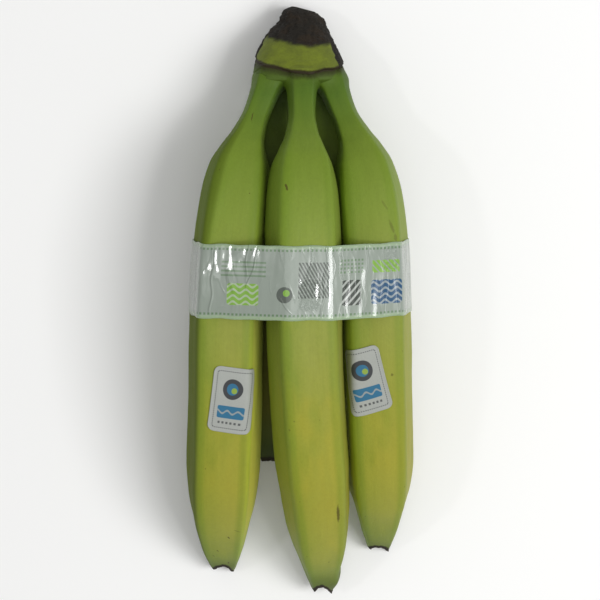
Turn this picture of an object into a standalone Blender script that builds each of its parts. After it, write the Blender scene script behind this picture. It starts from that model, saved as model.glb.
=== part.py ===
"""A hand of five bananas, held by a film band and marked with two blank stickers.

The hand lies with its hollow side down. It rests on three low points: the tips of
the two outer front fingers and the underside of the crown. The crown points
along +Y, the tips along -Y, and the bulging backs of the front fingers face up.
Sizes in the driving dimensions are millimetres; the model is built in metres.
"""
from dataclasses import dataclass

import bmesh
import bpy
import numpy as np
from mathutils import Vector
from mathutils.geometry import convex_hull_2d

MM = 0.001

# Gap between separate pieces, the resting plane, and the move that centres the whole on the origin
CLEARANCE = 0.3
FLOOR = 0.0
CENTRING = (-0.1, 2.5, 0.0)

# Fingers: five facets run along each one, facing these ways round it, with soft ridges between
FACET_FACING = (90.0, 14.0, 166.0, 240.0, 300.0)
FACET_SHARPNESS = 13.0
FACET_INSET = 0.905
FINGER_SIDES = 20
FINGER_RINGS = 31
NECK_ROUNDING_ENDS = 75.0
TIP_ROUNDING_STARTS = 30.0
NECK_FACET_SHARE = 0.6
TIP_FACET_SHARE = 0.5

# Half width of a finger, at distances from its root, and at distances back from its tip
WIDTH_FROM_ROOT = ((0.0, 5.2), (5.0, 7.4), (9.0, 7.8), (16.0, 6.6), (27.0, 6.0), (37.0, 7.6),
                   (44.0, 10.4), (52.0, 13.6), (66.0, 15.6), (84.0, 16.3))
TIP_STATIONS = (0.0, 3.0, 7.0, 12.0, 20.0, 31.0, 42.0, 54.0, 66.0, 82.0)
TIP_WIDTHS = (4.6, 5.9, 7.2, 8.6, 10.3, 12.4, 14.1, 15.3, 15.9, 16.4)

# Stations of the first list that stay with the stalk when a finger's shoulder moves
STALK_STATIONS = 4

# Crown: a pad that the stalks share, tapering to a dried and sloping end
CROWN_SIDES = 28
CROWN_SQUARENESS = 2.6
CROWN_END_SLANT = -0.25

# Band: a closed loop of film, drawn tight round all five fingers
BAND_CENTRE_Y = 16.5
BAND_HEIGHT = 32.0
BAND_ROWS = 5
BAND_THICKNESS = 0.5
BAND_POINTS = 96

# Stickers: thin plates with round corners, laid on the outer front fingers
STICKER_WIDTH = 19.0
STICKER_HEIGHT = 29.0
STICKER_CORNER = 3.0
STICKER_THICKNESS = 0.45
STICKER_COLUMNS = 17
STICKER_STRAIGHT_ROWS = 8
STICKER_CORNER_ROWS = 5

# Small step, in millimetres and in radians, that finds which way the skin faces
SKIN_STEP = 0.05


@dataclass(frozen=True)
class Finger:
    """One finger: its middle line, its half widths back from the tip, its girth and its turn."""

    path: tuple
    tip_widths: tuple = TIP_WIDTHS
    girth: float = 1.0
    roll: float = 0.0
    shoulder_shift: float = 0.0


@dataclass(frozen=True)
class CrownSection:
    """One cross-section of the crown: its middle, half sizes, and lean along Y as it rises."""

    middle: tuple
    half_width: float
    half_depth: float
    lean: float


@dataclass(frozen=True)
class Sticker:
    """Where a sticker sits: distance back from the finger's tip, angle round it, turn."""

    finger: str
    from_tip: float
    angle: float
    turn: float


FINGERS = {
    "left": Finger(path=((-11.0, 110.0, 30.5), (-13.6, 102.5, 36.0), (-18.8, 88.5, 42.0),
                         (-24.0, 74.0, 47.5), (-28.8, 48.0, 53.2), (-32.0, 10.0, 58.0),
                         (-33.6, -40.0, 52.0), (-35.9, -90.0, 31.5), (-36.4, -127.5, 2.2)),
                   tip_widths=(5.0, 6.9, 8.2, 9.4, 11.3, 13.2, 14.9, 16.0, 16.6, 16.6)),
    "centre": Finger(path=((0.8, 110.0, 34.0), (0.9, 102.5, 40.5), (1.0, 88.5, 49.0),
                           (1.2, 74.0, 56.0), (1.6, 48.0, 64.0), (2.3, 8.0, 66.5),
                           (4.0, -40.0, 60.0), (7.8, -89.0, 41.0), (11.1, -137.5, 7.5)),
                     tip_widths=(4.9, 6.2, 7.1, 8.3, 9.9, 12.2, 14.0, 15.0, 15.5, 16.4),
                     girth=1.02, roll=-6.0),
    "right": Finger(path=((12.0, 110.0, 28.0), (14.0, 102.5, 33.0), (19.0, 88.5, 38.5),
                          (25.3, 74.0, 43.5), (30.5, 48.0, 49.0), (33.0, 10.0, 52.7),
                          (34.7, -41.0, 45.4), (37.0, -87.0, 26.7), (37.6, -118.0, 2.2)),
                    tip_widths=(5.0, 6.6, 7.4, 8.7, 10.4, 12.5, 14.9, 16.0, 16.2, 16.4),
                    girth=0.98),
    "back_left": Finger(path=((-6.0, 110.0, 25.5), (-7.0, 102.5, 24.5), (-9.8, 88.0, 25.5),
                              (-12.5, 66.0, 26.0), (-14.0, 48.0, 26.5), (-15.4, 5.0, 30.5),
                              (-15.2, -35.0, 25.5), (-14.5, -74.0, 12.0)),
                        girth=0.92, shoulder_shift=-9.0),
    "back_right": Finger(path=((6.0, 110.0, 24.5), (7.3, 102.5, 22.8), (11.0, 88.0, 22.5),
                               (14.0, 66.0, 20.5), (16.0, 48.0, 21.0), (17.2, 5.0, 24.5),
                               (17.4, -30.0, 20.5), (18.0, -66.0, 9.5)),
                         girth=0.92, shoulder_shift=-9.0),
}

CROWN = (
    CrownSection(middle=(0.0, 98.5, 32.0), half_width=7.0, half_depth=4.0, lean=0.0),
    CrownSection(middle=(0.0, 100.0, 31.8), half_width=13.0, half_depth=8.0, lean=-0.05),
    CrownSection(middle=(0.0, 102.2, 31.4), half_width=17.0, half_depth=12.0, lean=-0.1),
    CrownSection(middle=(-0.2, 105.0, 30.6), half_width=19.2, half_depth=15.0, lean=-0.17),
    CrownSection(middle=(-0.4, 109.0, 28.8), half_width=19.8, half_depth=16.2, lean=-0.22),
    CrownSection(middle=(-0.9, 115.0, 25.2), half_width=18.4, half_depth=15.4, lean=-0.2),
    CrownSection(middle=(-0.9, 119.7, 21.2), half_width=16.2, half_depth=14.6, lean=-0.15),
    CrownSection(middle=(-0.4, 124.5, 17.0), half_width=13.3, half_depth=13.8, lean=-0.1),
    CrownSection(middle=(0.9, 129.0, 13.2), half_width=10.6, half_depth=13.2, lean=-0.05),
    CrownSection(middle=(1.1, 132.0, 11.2), half_width=8.8, half_depth=12.0, lean=0.0),
    CrownSection(middle=(1.8, 134.0, 9.8), half_width=5.6, half_depth=10.2, lean=0.0),
)

STICKERS = {
    "sticker_left": Sticker(finger="left", from_tip=109.0, angle=77.0, turn=6.0),
    "sticker_right": Sticker(finger="right", from_tip=105.0, angle=110.5, turn=-14.0),
}


def clear_scene():
    """Remove every object, so that the model starts from nothing."""
    for item in list(bpy.data.objects):
        bpy.data.objects.remove(item, do_unlink=True)


def make_material(name, colour, roughness, coat=0.0):
    """A Principled material with one colour and roughness."""
    material = bpy.data.materials.new(name)
    material.use_nodes = True
    shader = material.node_tree.nodes["Principled BSDF"]
    shader.inputs["Base Color"].default_value = (*colour, 1.0)
    shader.inputs["Roughness"].default_value = roughness
    shader.inputs["Metallic"].default_value = 0.0
    shader.inputs["Coat Weight"].default_value = coat
    return material


def smooth_spline(knots, values, at):
    """Natural cubic spline: curvature is continuous, and zero at both ends."""
    steps = np.diff(knots)
    rises = np.diff(values, axis=0) / steps[:, None]
    count = len(knots)
    matrix = np.eye(count)
    pull = np.zeros_like(values)
    for i in range(1, count - 1):
        matrix[i, i - 1:i + 2] = steps[i - 1], 2.0 * (steps[i - 1] + steps[i]), steps[i]
        pull[i] = 6.0 * (rises[i] - rises[i - 1])
    bend = np.linalg.solve(matrix, pull)
    i = np.clip(np.searchsorted(knots, at) - 1, 0, count - 2)
    step = steps[i][:, None]
    ahead = (knots[i + 1] - at)[:, None]
    behind = (at - knots[i])[:, None]
    return ((bend[i] * ahead ** 3 + bend[i + 1] * behind ** 3) / (6.0 * step)
            + (values[i] / step - bend[i] * step / 6.0) * ahead
            + (values[i + 1] / step - bend[i + 1] * step / 6.0) * behind)


def monotone_curve(knots, values, at):
    """Cubic curve through the values that never overshoots between two of them."""
    steps = np.diff(knots)
    rises = np.diff(values) / steps
    product = rises[:-1] * rises[1:]
    total = rises[:-1] + rises[1:]
    inner = np.where(product > 0.0, 2.0 * product / np.where(total == 0.0, 1.0, total), 0.0)
    slopes = np.concatenate(([rises[0]], inner, [rises[-1]]))
    i = np.clip(np.searchsorted(knots, at) - 1, 0, len(steps) - 1)
    t = (at - knots[i]) / steps[i]
    return ((2 * t ** 3 - 3 * t ** 2 + 1) * values[i]
            + (t ** 3 - 2 * t ** 2 + t) * steps[i] * slopes[i]
            + (3 * t ** 2 - 2 * t ** 3) * values[i + 1]
            + (t ** 3 - t ** 2) * steps[i] * slopes[i + 1])


def middle_line(path, samples=400):
    """Points evenly spaced by length along the spline through a path, with their distances."""
    points = np.array(path)
    knots = np.concatenate(([0.0], np.cumsum(np.linalg.norm(np.diff(points, axis=0), axis=1))))
    dense = smooth_spline(knots, points, np.linspace(0.0, knots[-1], samples))
    walked = np.concatenate(([0.0], np.cumsum(np.linalg.norm(np.diff(dense, axis=0), axis=1))))
    distance = np.linspace(0.0, walked[-1], samples)
    even = np.stack([np.interp(distance, walked, dense[:, k]) for k in range(3)], axis=1)
    return distance, even


def frames(points):
    """Direction of travel at each point, with the sideways and upward unit vectors."""
    travel = np.gradient(points, axis=0)
    travel /= np.linalg.norm(travel, axis=1, keepdims=True)
    side = np.cross((0.0, 0.0, 1.0), travel)
    side /= np.linalg.norm(side, axis=1, keepdims=True)
    return travel, side, np.cross(travel, side)


def facet_outline(angles):
    """Distance from the middle of a unit section whose five flat sides meet in soft ridges."""
    facing = np.radians(FACET_FACING)
    reach = np.maximum(np.cos(angles[..., None] - facing), 0.0) / FACET_INSET
    return np.sum(reach ** FACET_SHARPNESS, axis=-1) ** (-1.0 / FACET_SHARPNESS)


def finger_width(finger, distance, length):
    """Half width of a finger at distances along it."""
    root = np.array(WIDTH_FROM_ROOT)
    tip = np.stack((TIP_STATIONS, finger.tip_widths), axis=1)
    root[STALK_STATIONS:, 0] += finger.shoulder_shift
    knots = np.concatenate((root[:, 0], length - tip[::-1, 0]))
    widths = np.concatenate((root[:, 1], tip[::-1, 1]))
    body = np.clip(distance / NECK_ROUNDING_ENDS, 0.0, 1.0)
    return monotone_curve(knots, widths, distance) * (1.0 + (finger.girth - 1.0) * body)


def finger_surface(finger, distance, angles):
    """Points of a finger's skin.

    Each one is the middle line's point plus the section's radius times the unit
    vector at that angle, from the sideways vector towards the upward one.
    """
    along, line = middle_line(finger.path)
    length = along[-1]
    _, side, up = frames(line)
    centre = np.stack([np.interp(distance, along, line[:, k]) for k in range(3)], axis=-1)
    side = np.stack([np.interp(distance, along, side[:, k]) for k in range(3)], axis=-1)
    up = np.stack([np.interp(distance, along, up[:, k]) for k in range(3)], axis=-1)
    neck = np.clip(distance / NECK_ROUNDING_ENDS, 0.0, 1.0)
    tip = np.clip((length - distance) / TIP_ROUNDING_STARTS, 0.0, 1.0)
    share = np.minimum(NECK_FACET_SHARE + (1.0 - NECK_FACET_SHARE) * neck,
                       TIP_FACET_SHARE + (1.0 - TIP_FACET_SHARE) * tip)
    turned = angles - np.radians(finger.roll)
    radius = finger_width(finger, distance.ravel(), length).reshape(distance.shape)
    radius = radius * (1.0 + share * (facet_outline(turned) - 1.0))
    return (centre + (radius * np.cos(angles))[..., None] * side
            + (radius * np.sin(angles))[..., None] * up)


def finger_length(finger):
    """Length of a finger's middle line."""
    return middle_line(finger.path)[0][-1]


def tube_mesh(name, rings):
    """A closed mesh from rings of points: quads between rings and a flat cap at each end."""
    sides = rings.shape[1]
    bm = bmesh.new()
    rows = [[bm.verts.new(point * MM) for point in ring] for ring in rings]
    for lower, upper in zip(rows, rows[1:]):
        for i in range(sides):
            j = (i + 1) % sides
            bm.faces.new((lower[i], lower[j], upper[j], upper[i]))
    bm.faces.new(rows[0])
    bm.faces.new(rows[-1])
    bmesh.ops.recalc_face_normals(bm, faces=bm.faces)
    trim_to_floor(bm)
    mesh = bpy.data.meshes.new(name)
    bm.to_mesh(mesh)
    bm.free()
    return mesh


def trim_to_floor(bm):
    """Cut off what lies below the resting plane, and close the cut with a flat face."""
    everything = bm.verts[:] + bm.edges[:] + bm.faces[:]
    cut = bmesh.ops.bisect_plane(bm, geom=everything, plane_co=(0.0, 0.0, FLOOR * MM),
                                 plane_no=(0.0, 0.0, -1.0), clear_outer=True)
    rim = [edge for edge in cut["geom_cut"] if isinstance(edge, bmesh.types.BMEdge)]
    if rim:
        bmesh.ops.edgenet_fill(bm, edges=rim)
        bmesh.ops.recalc_face_normals(bm, faces=bm.faces)


def finger_mesh(name, finger):
    """The closed mesh of one finger, from inside the crown to the blunt tip."""
    distance = np.linspace(0.0, finger_length(finger), FINGER_RINGS)
    angles = np.linspace(0.0, 2.0 * np.pi, FINGER_SIDES, endpoint=False)
    grid = np.meshgrid(distance, angles + np.radians(finger.roll), indexing="ij")
    return tube_mesh(name, finger_surface(finger, *grid))


def crown_mesh(name):
    """The closed mesh of the crown: rounded sections lofted from the stalks to the dried end."""
    middle = np.array([section.middle for section in CROWN])[:, None, :]
    angles = np.linspace(0.0, 2.0 * np.pi, CROWN_SIDES, endpoint=False)
    power = 2.0 / CROWN_SQUARENESS
    across = np.sign(np.cos(angles)) * np.abs(np.cos(angles)) ** power
    above = np.sign(np.sin(angles)) * np.abs(np.sin(angles)) ** power
    width = np.array([section.half_width for section in CROWN])[:, None] * across
    depth = np.array([section.half_depth for section in CROWN])[:, None] * above
    lean = np.array([section.lean for section in CROWN])[:, None]
    rings = middle + np.stack((width, depth * lean, depth), axis=-1)
    rings[-1, :, 1] += CROWN_END_SLANT * width[-1]
    return tube_mesh(name, rings)


def add_object(name, mesh, material=None):
    """An object that holds a mesh, moved so that the whole hand is centred."""
    item = bpy.data.objects.new(name, mesh)
    item.location = Vector(CENTRING) * MM
    bpy.context.scene.collection.objects.link(item)
    if material:
        mesh.materials.append(material)
    return item


def join_into(item, others):
    """Fuse a collection of overlapping solids into one object with a Boolean union."""
    group = bpy.data.collections.new(item.name + "_parts")
    bpy.context.scene.collection.children.link(group)
    for other in others:
        bpy.context.scene.collection.objects.unlink(other)
        group.objects.link(other)
    union = item.modifiers.new("Union", "BOOLEAN")
    union.operation = "UNION"
    union.solver = "EXACT"
    union.operand_type = "COLLECTION"
    union.collection = group
    bpy.context.view_layer.update()
    evaluated = item.evaluated_get(bpy.context.evaluated_depsgraph_get())
    fused = bpy.data.meshes.new_from_object(evaluated)
    item.modifiers.clear()
    item.data = fused
    for other in others:
        bpy.data.objects.remove(other, do_unlink=True)
    bpy.data.collections.remove(group)


def soften(mesh, angle=40.0):
    """Shade a mesh smooth, with edges kept where it turns sharply."""
    mesh.shade_smooth()
    mesh.set_sharp_from_angle(angle=np.radians(angle))


def make_hand(skin):
    """The hand: five fingers grown from one crown."""
    hand = add_object("banana_hand", crown_mesh("banana_hand"), skin)
    fingers = [add_object(name, finger_mesh(name, finger), skin)
               for name, finger in FINGERS.items()]
    join_into(hand, fingers)
    soften(hand.data)
    return hand


def skin_samples():
    """Points spread closely over the skins of all five fingers."""
    angles = np.linspace(0.0, 2.0 * np.pi, 180, endpoint=False)
    skins = []
    for finger in FINGERS.values():
        grid = np.meshgrid(np.linspace(0.0, finger_length(finger), 400), angles, indexing="ij")
        skins.append(finger_surface(finger, *grid).reshape(-1, 3))
    return np.concatenate(skins)


def band_outline(skin, y, offset):
    """The tight loop round the fingers' sections at one Y, as X and Z.

    It is the convex hull of the skin points close to that Y, moved out by an
    offset: at each direction, the hull's furthest point plus the offset.
    """
    points = skin[np.abs(skin[:, 1] - y) < BAND_HEIGHT / BAND_ROWS / 4.0][:, (0, 2)]
    hull = points[convex_hull_2d([tuple(point) for point in points])]
    heading = np.linspace(0.0, 2.0 * np.pi, 1440, endpoint=False)
    outward = np.stack((np.cos(heading), np.sin(heading)), axis=1)
    furthest = hull[np.argmax(outward @ hull.T, axis=1)]
    return even_loop(furthest + offset * outward, BAND_POINTS)


def even_loop(points, count):
    """A closed loop of points, spaced evenly by length."""
    closed = np.concatenate((points, points[:1]))
    walked = np.concatenate(([0.0], np.cumsum(np.linalg.norm(np.diff(closed, axis=0), axis=1))))
    distance = np.linspace(0.0, walked[-1], count, endpoint=False)
    return np.stack([np.interp(distance, walked, closed[:, k]) for k in range(2)], axis=1)


def make_band(film):
    """The band: rows of the tight loop, inside and outside, closed into a thin ring."""
    skin = skin_samples()
    heights = BAND_CENTRE_Y + BAND_HEIGHT * (np.arange(BAND_ROWS) / (BAND_ROWS - 1) - 0.5)
    inner = [(band_outline(skin, y, CLEARANCE), y) for y in heights]
    outer = [(band_outline(skin, y, CLEARANCE + BAND_THICKNESS), y) for y in heights]
    bm = bmesh.new()
    rows = [[bm.verts.new((x * MM, y * MM, z * MM)) for x, z in loop]
            for loop, y in inner + outer[::-1]]
    for row, following in zip(rows, rows[1:] + rows[:1]):
        for i in range(BAND_POINTS):
            j = (i + 1) % BAND_POINTS
            bm.faces.new((row[i], row[j], following[j], following[i]))
    bmesh.ops.recalc_face_normals(bm, faces=bm.faces)
    mesh = bpy.data.meshes.new("band")
    bm.to_mesh(mesh)
    bm.free()
    band = add_object("band", mesh, film)
    soften(mesh)
    return band


def sticker_grid():
    """Sticker points on the flat: rows across a rectangle whose corners are round."""
    straight = STICKER_HEIGHT / 2.0 - STICKER_CORNER
    turn = np.linspace(0.0, np.pi / 2.0, STICKER_CORNER_ROWS)
    corner = straight + STICKER_CORNER * np.sin(turn)
    between = np.linspace(-straight, straight, STICKER_STRAIGHT_ROWS + 2)[1:-1]
    v = np.concatenate((-corner[::-1], between, corner))
    inset = STICKER_CORNER * (1.0 - np.cos(turn))
    half = STICKER_WIDTH / 2.0 - np.concatenate((inset[::-1], np.zeros(len(between)), inset))
    u = np.linspace(-1.0, 1.0, STICKER_COLUMNS)
    return half[:, None] * u[None, :], np.repeat(v[:, None], STICKER_COLUMNS, axis=1)


def make_sticker(name, sticker, paper):
    """One sticker: a thin plate bent round its finger, just clear of the skin."""
    finger = FINGERS[sticker.finger]
    across, along = sticker_grid()
    rows = len(across)
    turn = np.radians(sticker.turn)
    sideways = across * np.cos(turn) + along * np.sin(turn)
    lengthwise = along * np.cos(turn) - across * np.sin(turn)
    distance = finger_length(finger) - sticker.from_tip - lengthwise
    angle = np.radians(sticker.angle) - sideways / (finger.tip_widths[-1] * finger.girth)
    skin = finger_surface(finger, distance, angle)
    round_step = finger_surface(finger, distance, angle + SKIN_STEP) - skin
    along_step = finger_surface(finger, distance + SKIN_STEP, angle) - skin
    normal = np.cross(along_step, round_step)
    normal /= np.linalg.norm(normal, axis=2, keepdims=True)
    normal *= np.sign(normal[..., 2:])
    sheets = [skin + normal * height for height in (CLEARANCE, CLEARANCE + STICKER_THICKNESS)]
    bm = bmesh.new()
    lower, upper = [[[bm.verts.new(point * MM) for point in row] for row in sheet]
                    for sheet in sheets]
    for sheet in (lower, upper):
        for r in range(rows - 1):
            for c in range(STICKER_COLUMNS - 1):
                bm.faces.new((sheet[r][c], sheet[r][c + 1], sheet[r + 1][c + 1], sheet[r + 1][c]))
    rim = ([(0, c) for c in range(STICKER_COLUMNS - 1)]
           + [(r, STICKER_COLUMNS - 1) for r in range(rows - 1)]
           + [(rows - 1, c) for c in range(STICKER_COLUMNS - 1, 0, -1)]
           + [(r, 0) for r in range(rows - 1, 0, -1)])
    for (r, c), (s, d) in zip(rim, rim[1:] + rim[:1]):
        bm.faces.new((lower[r][c], lower[s][d], upper[s][d], upper[r][c]))
    bmesh.ops.recalc_face_normals(bm, faces=bm.faces)
    mesh = bpy.data.meshes.new(name)
    bm.to_mesh(mesh)
    bm.free()
    plate = add_object(name, mesh, paper)
    soften(mesh)
    return plate


def main():
    """Build the hand, the band and the stickers."""
    clear_scene()
    skin = make_material("green_peel", (0.26, 0.36, 0.05), 0.42, coat=0.1)
    film = make_material("band_film", (0.42, 0.47, 0.40), 0.2, coat=0.5)
    paper = make_material("sticker_face", (0.55, 0.57, 0.52), 0.4)
    make_hand(skin)
    make_band(film)
    for name, sticker in STICKERS.items():
        make_sticker(name, sticker, paper)


main()
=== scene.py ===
"""A hand of five green bananas in a printed film band, with two small stickers.

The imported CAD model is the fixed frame. Every piece here follows the CAD's own named
sizes on a finer grid, and adds the relief, the ragged ends, the print and the finishes.
Lengths are millimetres until a mesh is written, and metres in the mesh.
"""

import logging
import math
from dataclasses import dataclass
from enum import Enum
from functools import cached_property
from typing import Optional, Sequence, Union

import bpy
import numpy as np
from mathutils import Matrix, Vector
from mathutils.geometry import convex_hull_2d


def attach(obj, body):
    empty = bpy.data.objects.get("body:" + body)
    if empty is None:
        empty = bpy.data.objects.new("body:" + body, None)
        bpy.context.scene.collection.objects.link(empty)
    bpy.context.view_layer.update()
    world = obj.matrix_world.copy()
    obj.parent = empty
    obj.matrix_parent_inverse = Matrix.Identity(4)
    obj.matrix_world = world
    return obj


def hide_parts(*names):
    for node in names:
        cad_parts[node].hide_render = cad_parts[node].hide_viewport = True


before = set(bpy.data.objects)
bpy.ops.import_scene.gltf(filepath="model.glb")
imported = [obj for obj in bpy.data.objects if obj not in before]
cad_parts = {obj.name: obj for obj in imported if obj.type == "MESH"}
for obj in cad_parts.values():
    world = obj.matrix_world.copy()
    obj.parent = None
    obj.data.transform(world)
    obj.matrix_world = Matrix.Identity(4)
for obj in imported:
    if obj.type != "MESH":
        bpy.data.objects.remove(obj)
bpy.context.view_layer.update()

log = logging.getLogger("banana_hand")

# Units, and where the hand stands in the frame
MM = 0.001
BODY = "root"
CENTRING = np.array((-0.1, 2.5, 0.0))
Array = np.ndarray
Colour = tuple[float, float, float]


class Slot(Enum):
    """The record's material slots. Each piece is built with one, but nothing reads it."""

    PEEL = "peel"
    FILM = "film"
    STICKER = "sticker"


def tone(red: float, green: float, blue: float) -> Colour:
    """A colour given on the 0 to 255 screen scale, as linear light."""
    return tuple(((v / 255.0 + 0.055) / 1.055) ** 2.4 if v > 10.3 else v / 255.0 / 12.92
                 for v in (red, green, blue))


def smooth_step(low: float, high: float, value: Array) -> Array:
    """Rise from 0 at low to 1 at high with level ends: t squared times 3 less 2t."""
    t = np.clip((value - low) / (high - low), 0.0, 1.0)
    return t * t * (3.0 - 2.0 * t)


def hump(value: Array, middle: Union[float, Array], reach: float) -> Array:
    """A bell curve that is 1 at its middle: e to the minus square of the distance over the reach."""
    return np.exp(-((value - middle) / reach) ** 2)


def ripples(points: Array, size: float, seed: int, waves: int = 12) -> Array:
    """Smooth uneven bumps: a sum of sine waves along seeded directions, of about unit height.

    Args:
        points: Positions, with the coordinates on the last axis.
        size: The usual distance from bump to bump.
        seed: Picks the waves' directions, lengths and starts.
        waves: How many waves are added.

    Returns:
        One height for each point.
    """
    rng = np.random.default_rng(seed)
    heading = rng.normal(size=(waves, points.shape[-1]))
    heading /= np.linalg.norm(heading, axis=1, keepdims=True)
    rate = 2.0 * np.pi / size * rng.uniform(0.6, 1.5, waves)
    start = rng.uniform(0.0, 2.0 * np.pi, waves)
    return np.sin(points @ (heading * rate[:, None]).T + start).sum(axis=-1) / math.sqrt(waves)


def natural_spline(knots: Array, values: Array, at: Array) -> Array:
    """The cubic curve through the values whose bend is continuous, and zero at both ends.

    Args:
        knots: Places of the values, rising.
        values: One row for each knot.
        at: Places where the curve is wanted.

    Returns:
        One row for each place.
    """
    steps = np.diff(knots)
    rises = np.diff(values, axis=0) / steps[:, None]
    inside = np.arange(1, len(knots) - 1)
    matrix = np.eye(len(knots))
    matrix[inside, inside - 1] = steps[:-1]
    matrix[inside, inside] = 2.0 * (steps[:-1] + steps[1:])
    matrix[inside, inside + 1] = steps[1:]
    pull = np.zeros_like(values)
    pull[1:-1] = 6.0 * np.diff(rises, axis=0)
    bend = np.linalg.solve(matrix, pull)
    i = np.clip(np.searchsorted(knots, at) - 1, 0, len(knots) - 2)
    step = steps[i][:, None]
    ahead = (knots[i + 1] - at)[:, None]
    behind = (at - knots[i])[:, None]
    return ((bend[i] * ahead ** 3 + bend[i + 1] * behind ** 3) / (6.0 * step)
            + (values[i] / step - bend[i] * step / 6.0) * ahead
            + (values[i + 1] / step - bend[i + 1] * step / 6.0) * behind)


def monotone_curve(knots: Array, values: Array, at: Array) -> Array:
    """The cubic curve through the values that never overshoots between two of them.

    Args:
        knots: Places of the values, rising.
        values: One value for each knot.
        at: Places where the curve is wanted.

    Returns:
        One value for each place.
    """
    steps = np.diff(knots)
    rises = np.diff(values) / steps
    product = rises[:-1] * rises[1:]
    total = np.where(rises[:-1] + rises[1:] == 0.0, 1.0, rises[:-1] + rises[1:])
    inner = np.where(product > 0.0, 2.0 * product / total, 0.0)
    slopes = np.concatenate(([rises[0]], inner, [rises[-1]]))
    i = np.clip(np.searchsorted(knots, at) - 1, 0, len(steps) - 1)
    t = (at - knots[i]) / steps[i]
    return ((2 * t ** 3 - 3 * t ** 2 + 1) * values[i]
            + (t ** 3 - 2 * t ** 2 + t) * steps[i] * slopes[i]
            + (3 * t ** 2 - 2 * t ** 3) * values[i + 1]
            + (t ** 3 - t ** 2) * steps[i] * slopes[i + 1])


def even_points(line: Array, count: int, closed: bool = False) -> tuple[Array, Array]:
    """Points spaced evenly by length along a line.

    Args:
        line: The line's own points.
        count: How many points are wanted.
        closed: Whether the line runs back to its start.

    Returns:
        Distance along the line and position of each point.
    """
    run = np.concatenate((line, line[:1])) if closed else line
    walked = np.concatenate(([0.0], np.cumsum(np.linalg.norm(np.diff(run, axis=0), axis=1))))
    distance = np.linspace(0.0, walked[-1], count, endpoint=not closed)
    return distance, np.stack([np.interp(distance, walked, run[:, k]) for k in range(run.shape[1])], axis=1)


def unit(vectors: Array) -> Array:
    """The same directions with length 1."""
    return vectors / np.linalg.norm(vectors, axis=-1, keepdims=True)


def quads(index: Array, wrap_rows: bool = False, wrap_columns: bool = False) -> Array:
    """Four-sided faces over a grid of point numbers, which may close on itself either way."""
    grid = np.concatenate((index, index[:1])) if wrap_rows else index
    grid = np.concatenate((grid, grid[:, :1]), axis=1) if wrap_columns else grid
    corners = (grid[:-1, :-1], grid[:-1, 1:], grid[1:, 1:], grid[1:, :-1])
    return np.stack(corners, axis=-1).reshape(-1, 4)


def fan(ring: Array, centre: int) -> Array:
    """Triangles from a ring of point numbers to one middle point."""
    return np.stack((np.roll(ring, -1), ring, np.full(len(ring), centre)), axis=-1)


@dataclass
class Draft:
    """A closed surface on its way to becoming a piece.

    Attributes:
        name: The piece's name.
        points: Positions in millimetres, before the hand is centred.
        faces: Arrays of point numbers, one array for each kind of face.
        values: Numbers or vectors kept with each point for its finish.
        flat: Place of each point on the unrolled surface, in millimetres.
        turn: Distance once round the unrolled surface, or 0 where it doesn't close.
    """

    name: str
    points: Array
    faces: Sequence[Array]
    values: dict[str, Array]
    flat: Optional[Array] = None
    turn: float = 0.0

    def faces_outward(self) -> list[Array]:
        """The faces, turned over where the signed volume says that they point inwards."""
        volume = 0.0
        for group in self.faces:
            for k in range(1, group.shape[1] - 1):
                a, b, c = (self.points[group[:, j]] for j in (0, k, k + 1))
                volume += np.einsum("ij,ij->", a, np.cross(b, c))
        return [group if volume > 0.0 else group[:, ::-1] for group in self.faces]

    def flat_corners(self, faces: Sequence[Array]) -> Array:
        """Unrolled place of every face corner, carried on past the seam where a face crosses it."""
        parts = []
        for group in faces:
            corners = self.flat[group].copy()
            across = corners[..., 0]
            crossing = np.ptp(across, axis=1, keepdims=True) > 0.5 * self.turn
            if self.turn:
                across += self.turn * (crossing & (across < np.mean(self.flat[:, 0])))
            parts.append(corners.reshape(-1, 2))
        return np.concatenate(parts)

    def build(self, material: bpy.types.Material, slot: Slot, nodes: Sequence[str]) -> bpy.types.Object:
        """Write the mesh and hand the piece over to the frame.

        Args:
            material: The piece's finish.
            slot: The record's slot for that finish. Not used.
            nodes: The CAD nodes that the piece stands for.

        Returns:
            The finished object.
        """
        faces = self.faces_outward()
        mesh = bpy.data.meshes.new(self.name)
        mesh.from_pydata(((self.points + CENTRING) * MM).tolist(), [],
                         [face for group in faces for face in group.tolist()])
        for name, numbers in self.values.items():
            kind, field = ("FLOAT_VECTOR", "vector") if numbers.ndim == 2 else ("FLOAT", "value")
            layer = mesh.attributes.new(name, kind, "POINT")
            layer.data.foreach_set(field, numbers.astype(np.float32).ravel())
        if self.flat is not None:
            layer = mesh.uv_layers.new(name="flat")
            layer.data.foreach_set("uv", self.flat_corners(faces).astype(np.float32).ravel())
        mesh.shade_smooth()
        mesh.materials.append(material)
        piece = bpy.data.objects.new(self.name, mesh)
        bpy.context.scene.collection.objects.link(piece)
        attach(piece, BODY)
        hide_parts(*nodes)
        log.info("%s: %d faces", self.name, len(mesh.polygons))
        return piece


def capped(name: str, grid: Array, values: dict[str, Array]) -> Draft:
    """Close a tube on a middle point at each end, and lay it on the resting plane.

    Args:
        name: The piece's name.
        grid: Positions, one row for each turn of the tube.
        values: Numbers or vectors for the same grid.

    Returns:
        The closed surface, with the mean of each end row kept at its middle point.
    """
    rows, sides = grid.shape[:2]
    count = rows * sides
    flattened = {key: np.concatenate((table.reshape((count,) + table.shape[2:]), table[[0, -1]].mean(axis=1)))
                 for key, table in {"points": grid, **values}.items()}
    points = flattened.pop("points")
    points[:, 2] = np.maximum(points[:, 2], 0.0)
    index = np.arange(count).reshape(rows, sides)
    faces = [quads(index, wrap_columns=True), fan(index[0][::-1], count), fan(index[-1], count + 1)]
    return Draft(name, points, faces, flattened)


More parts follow.
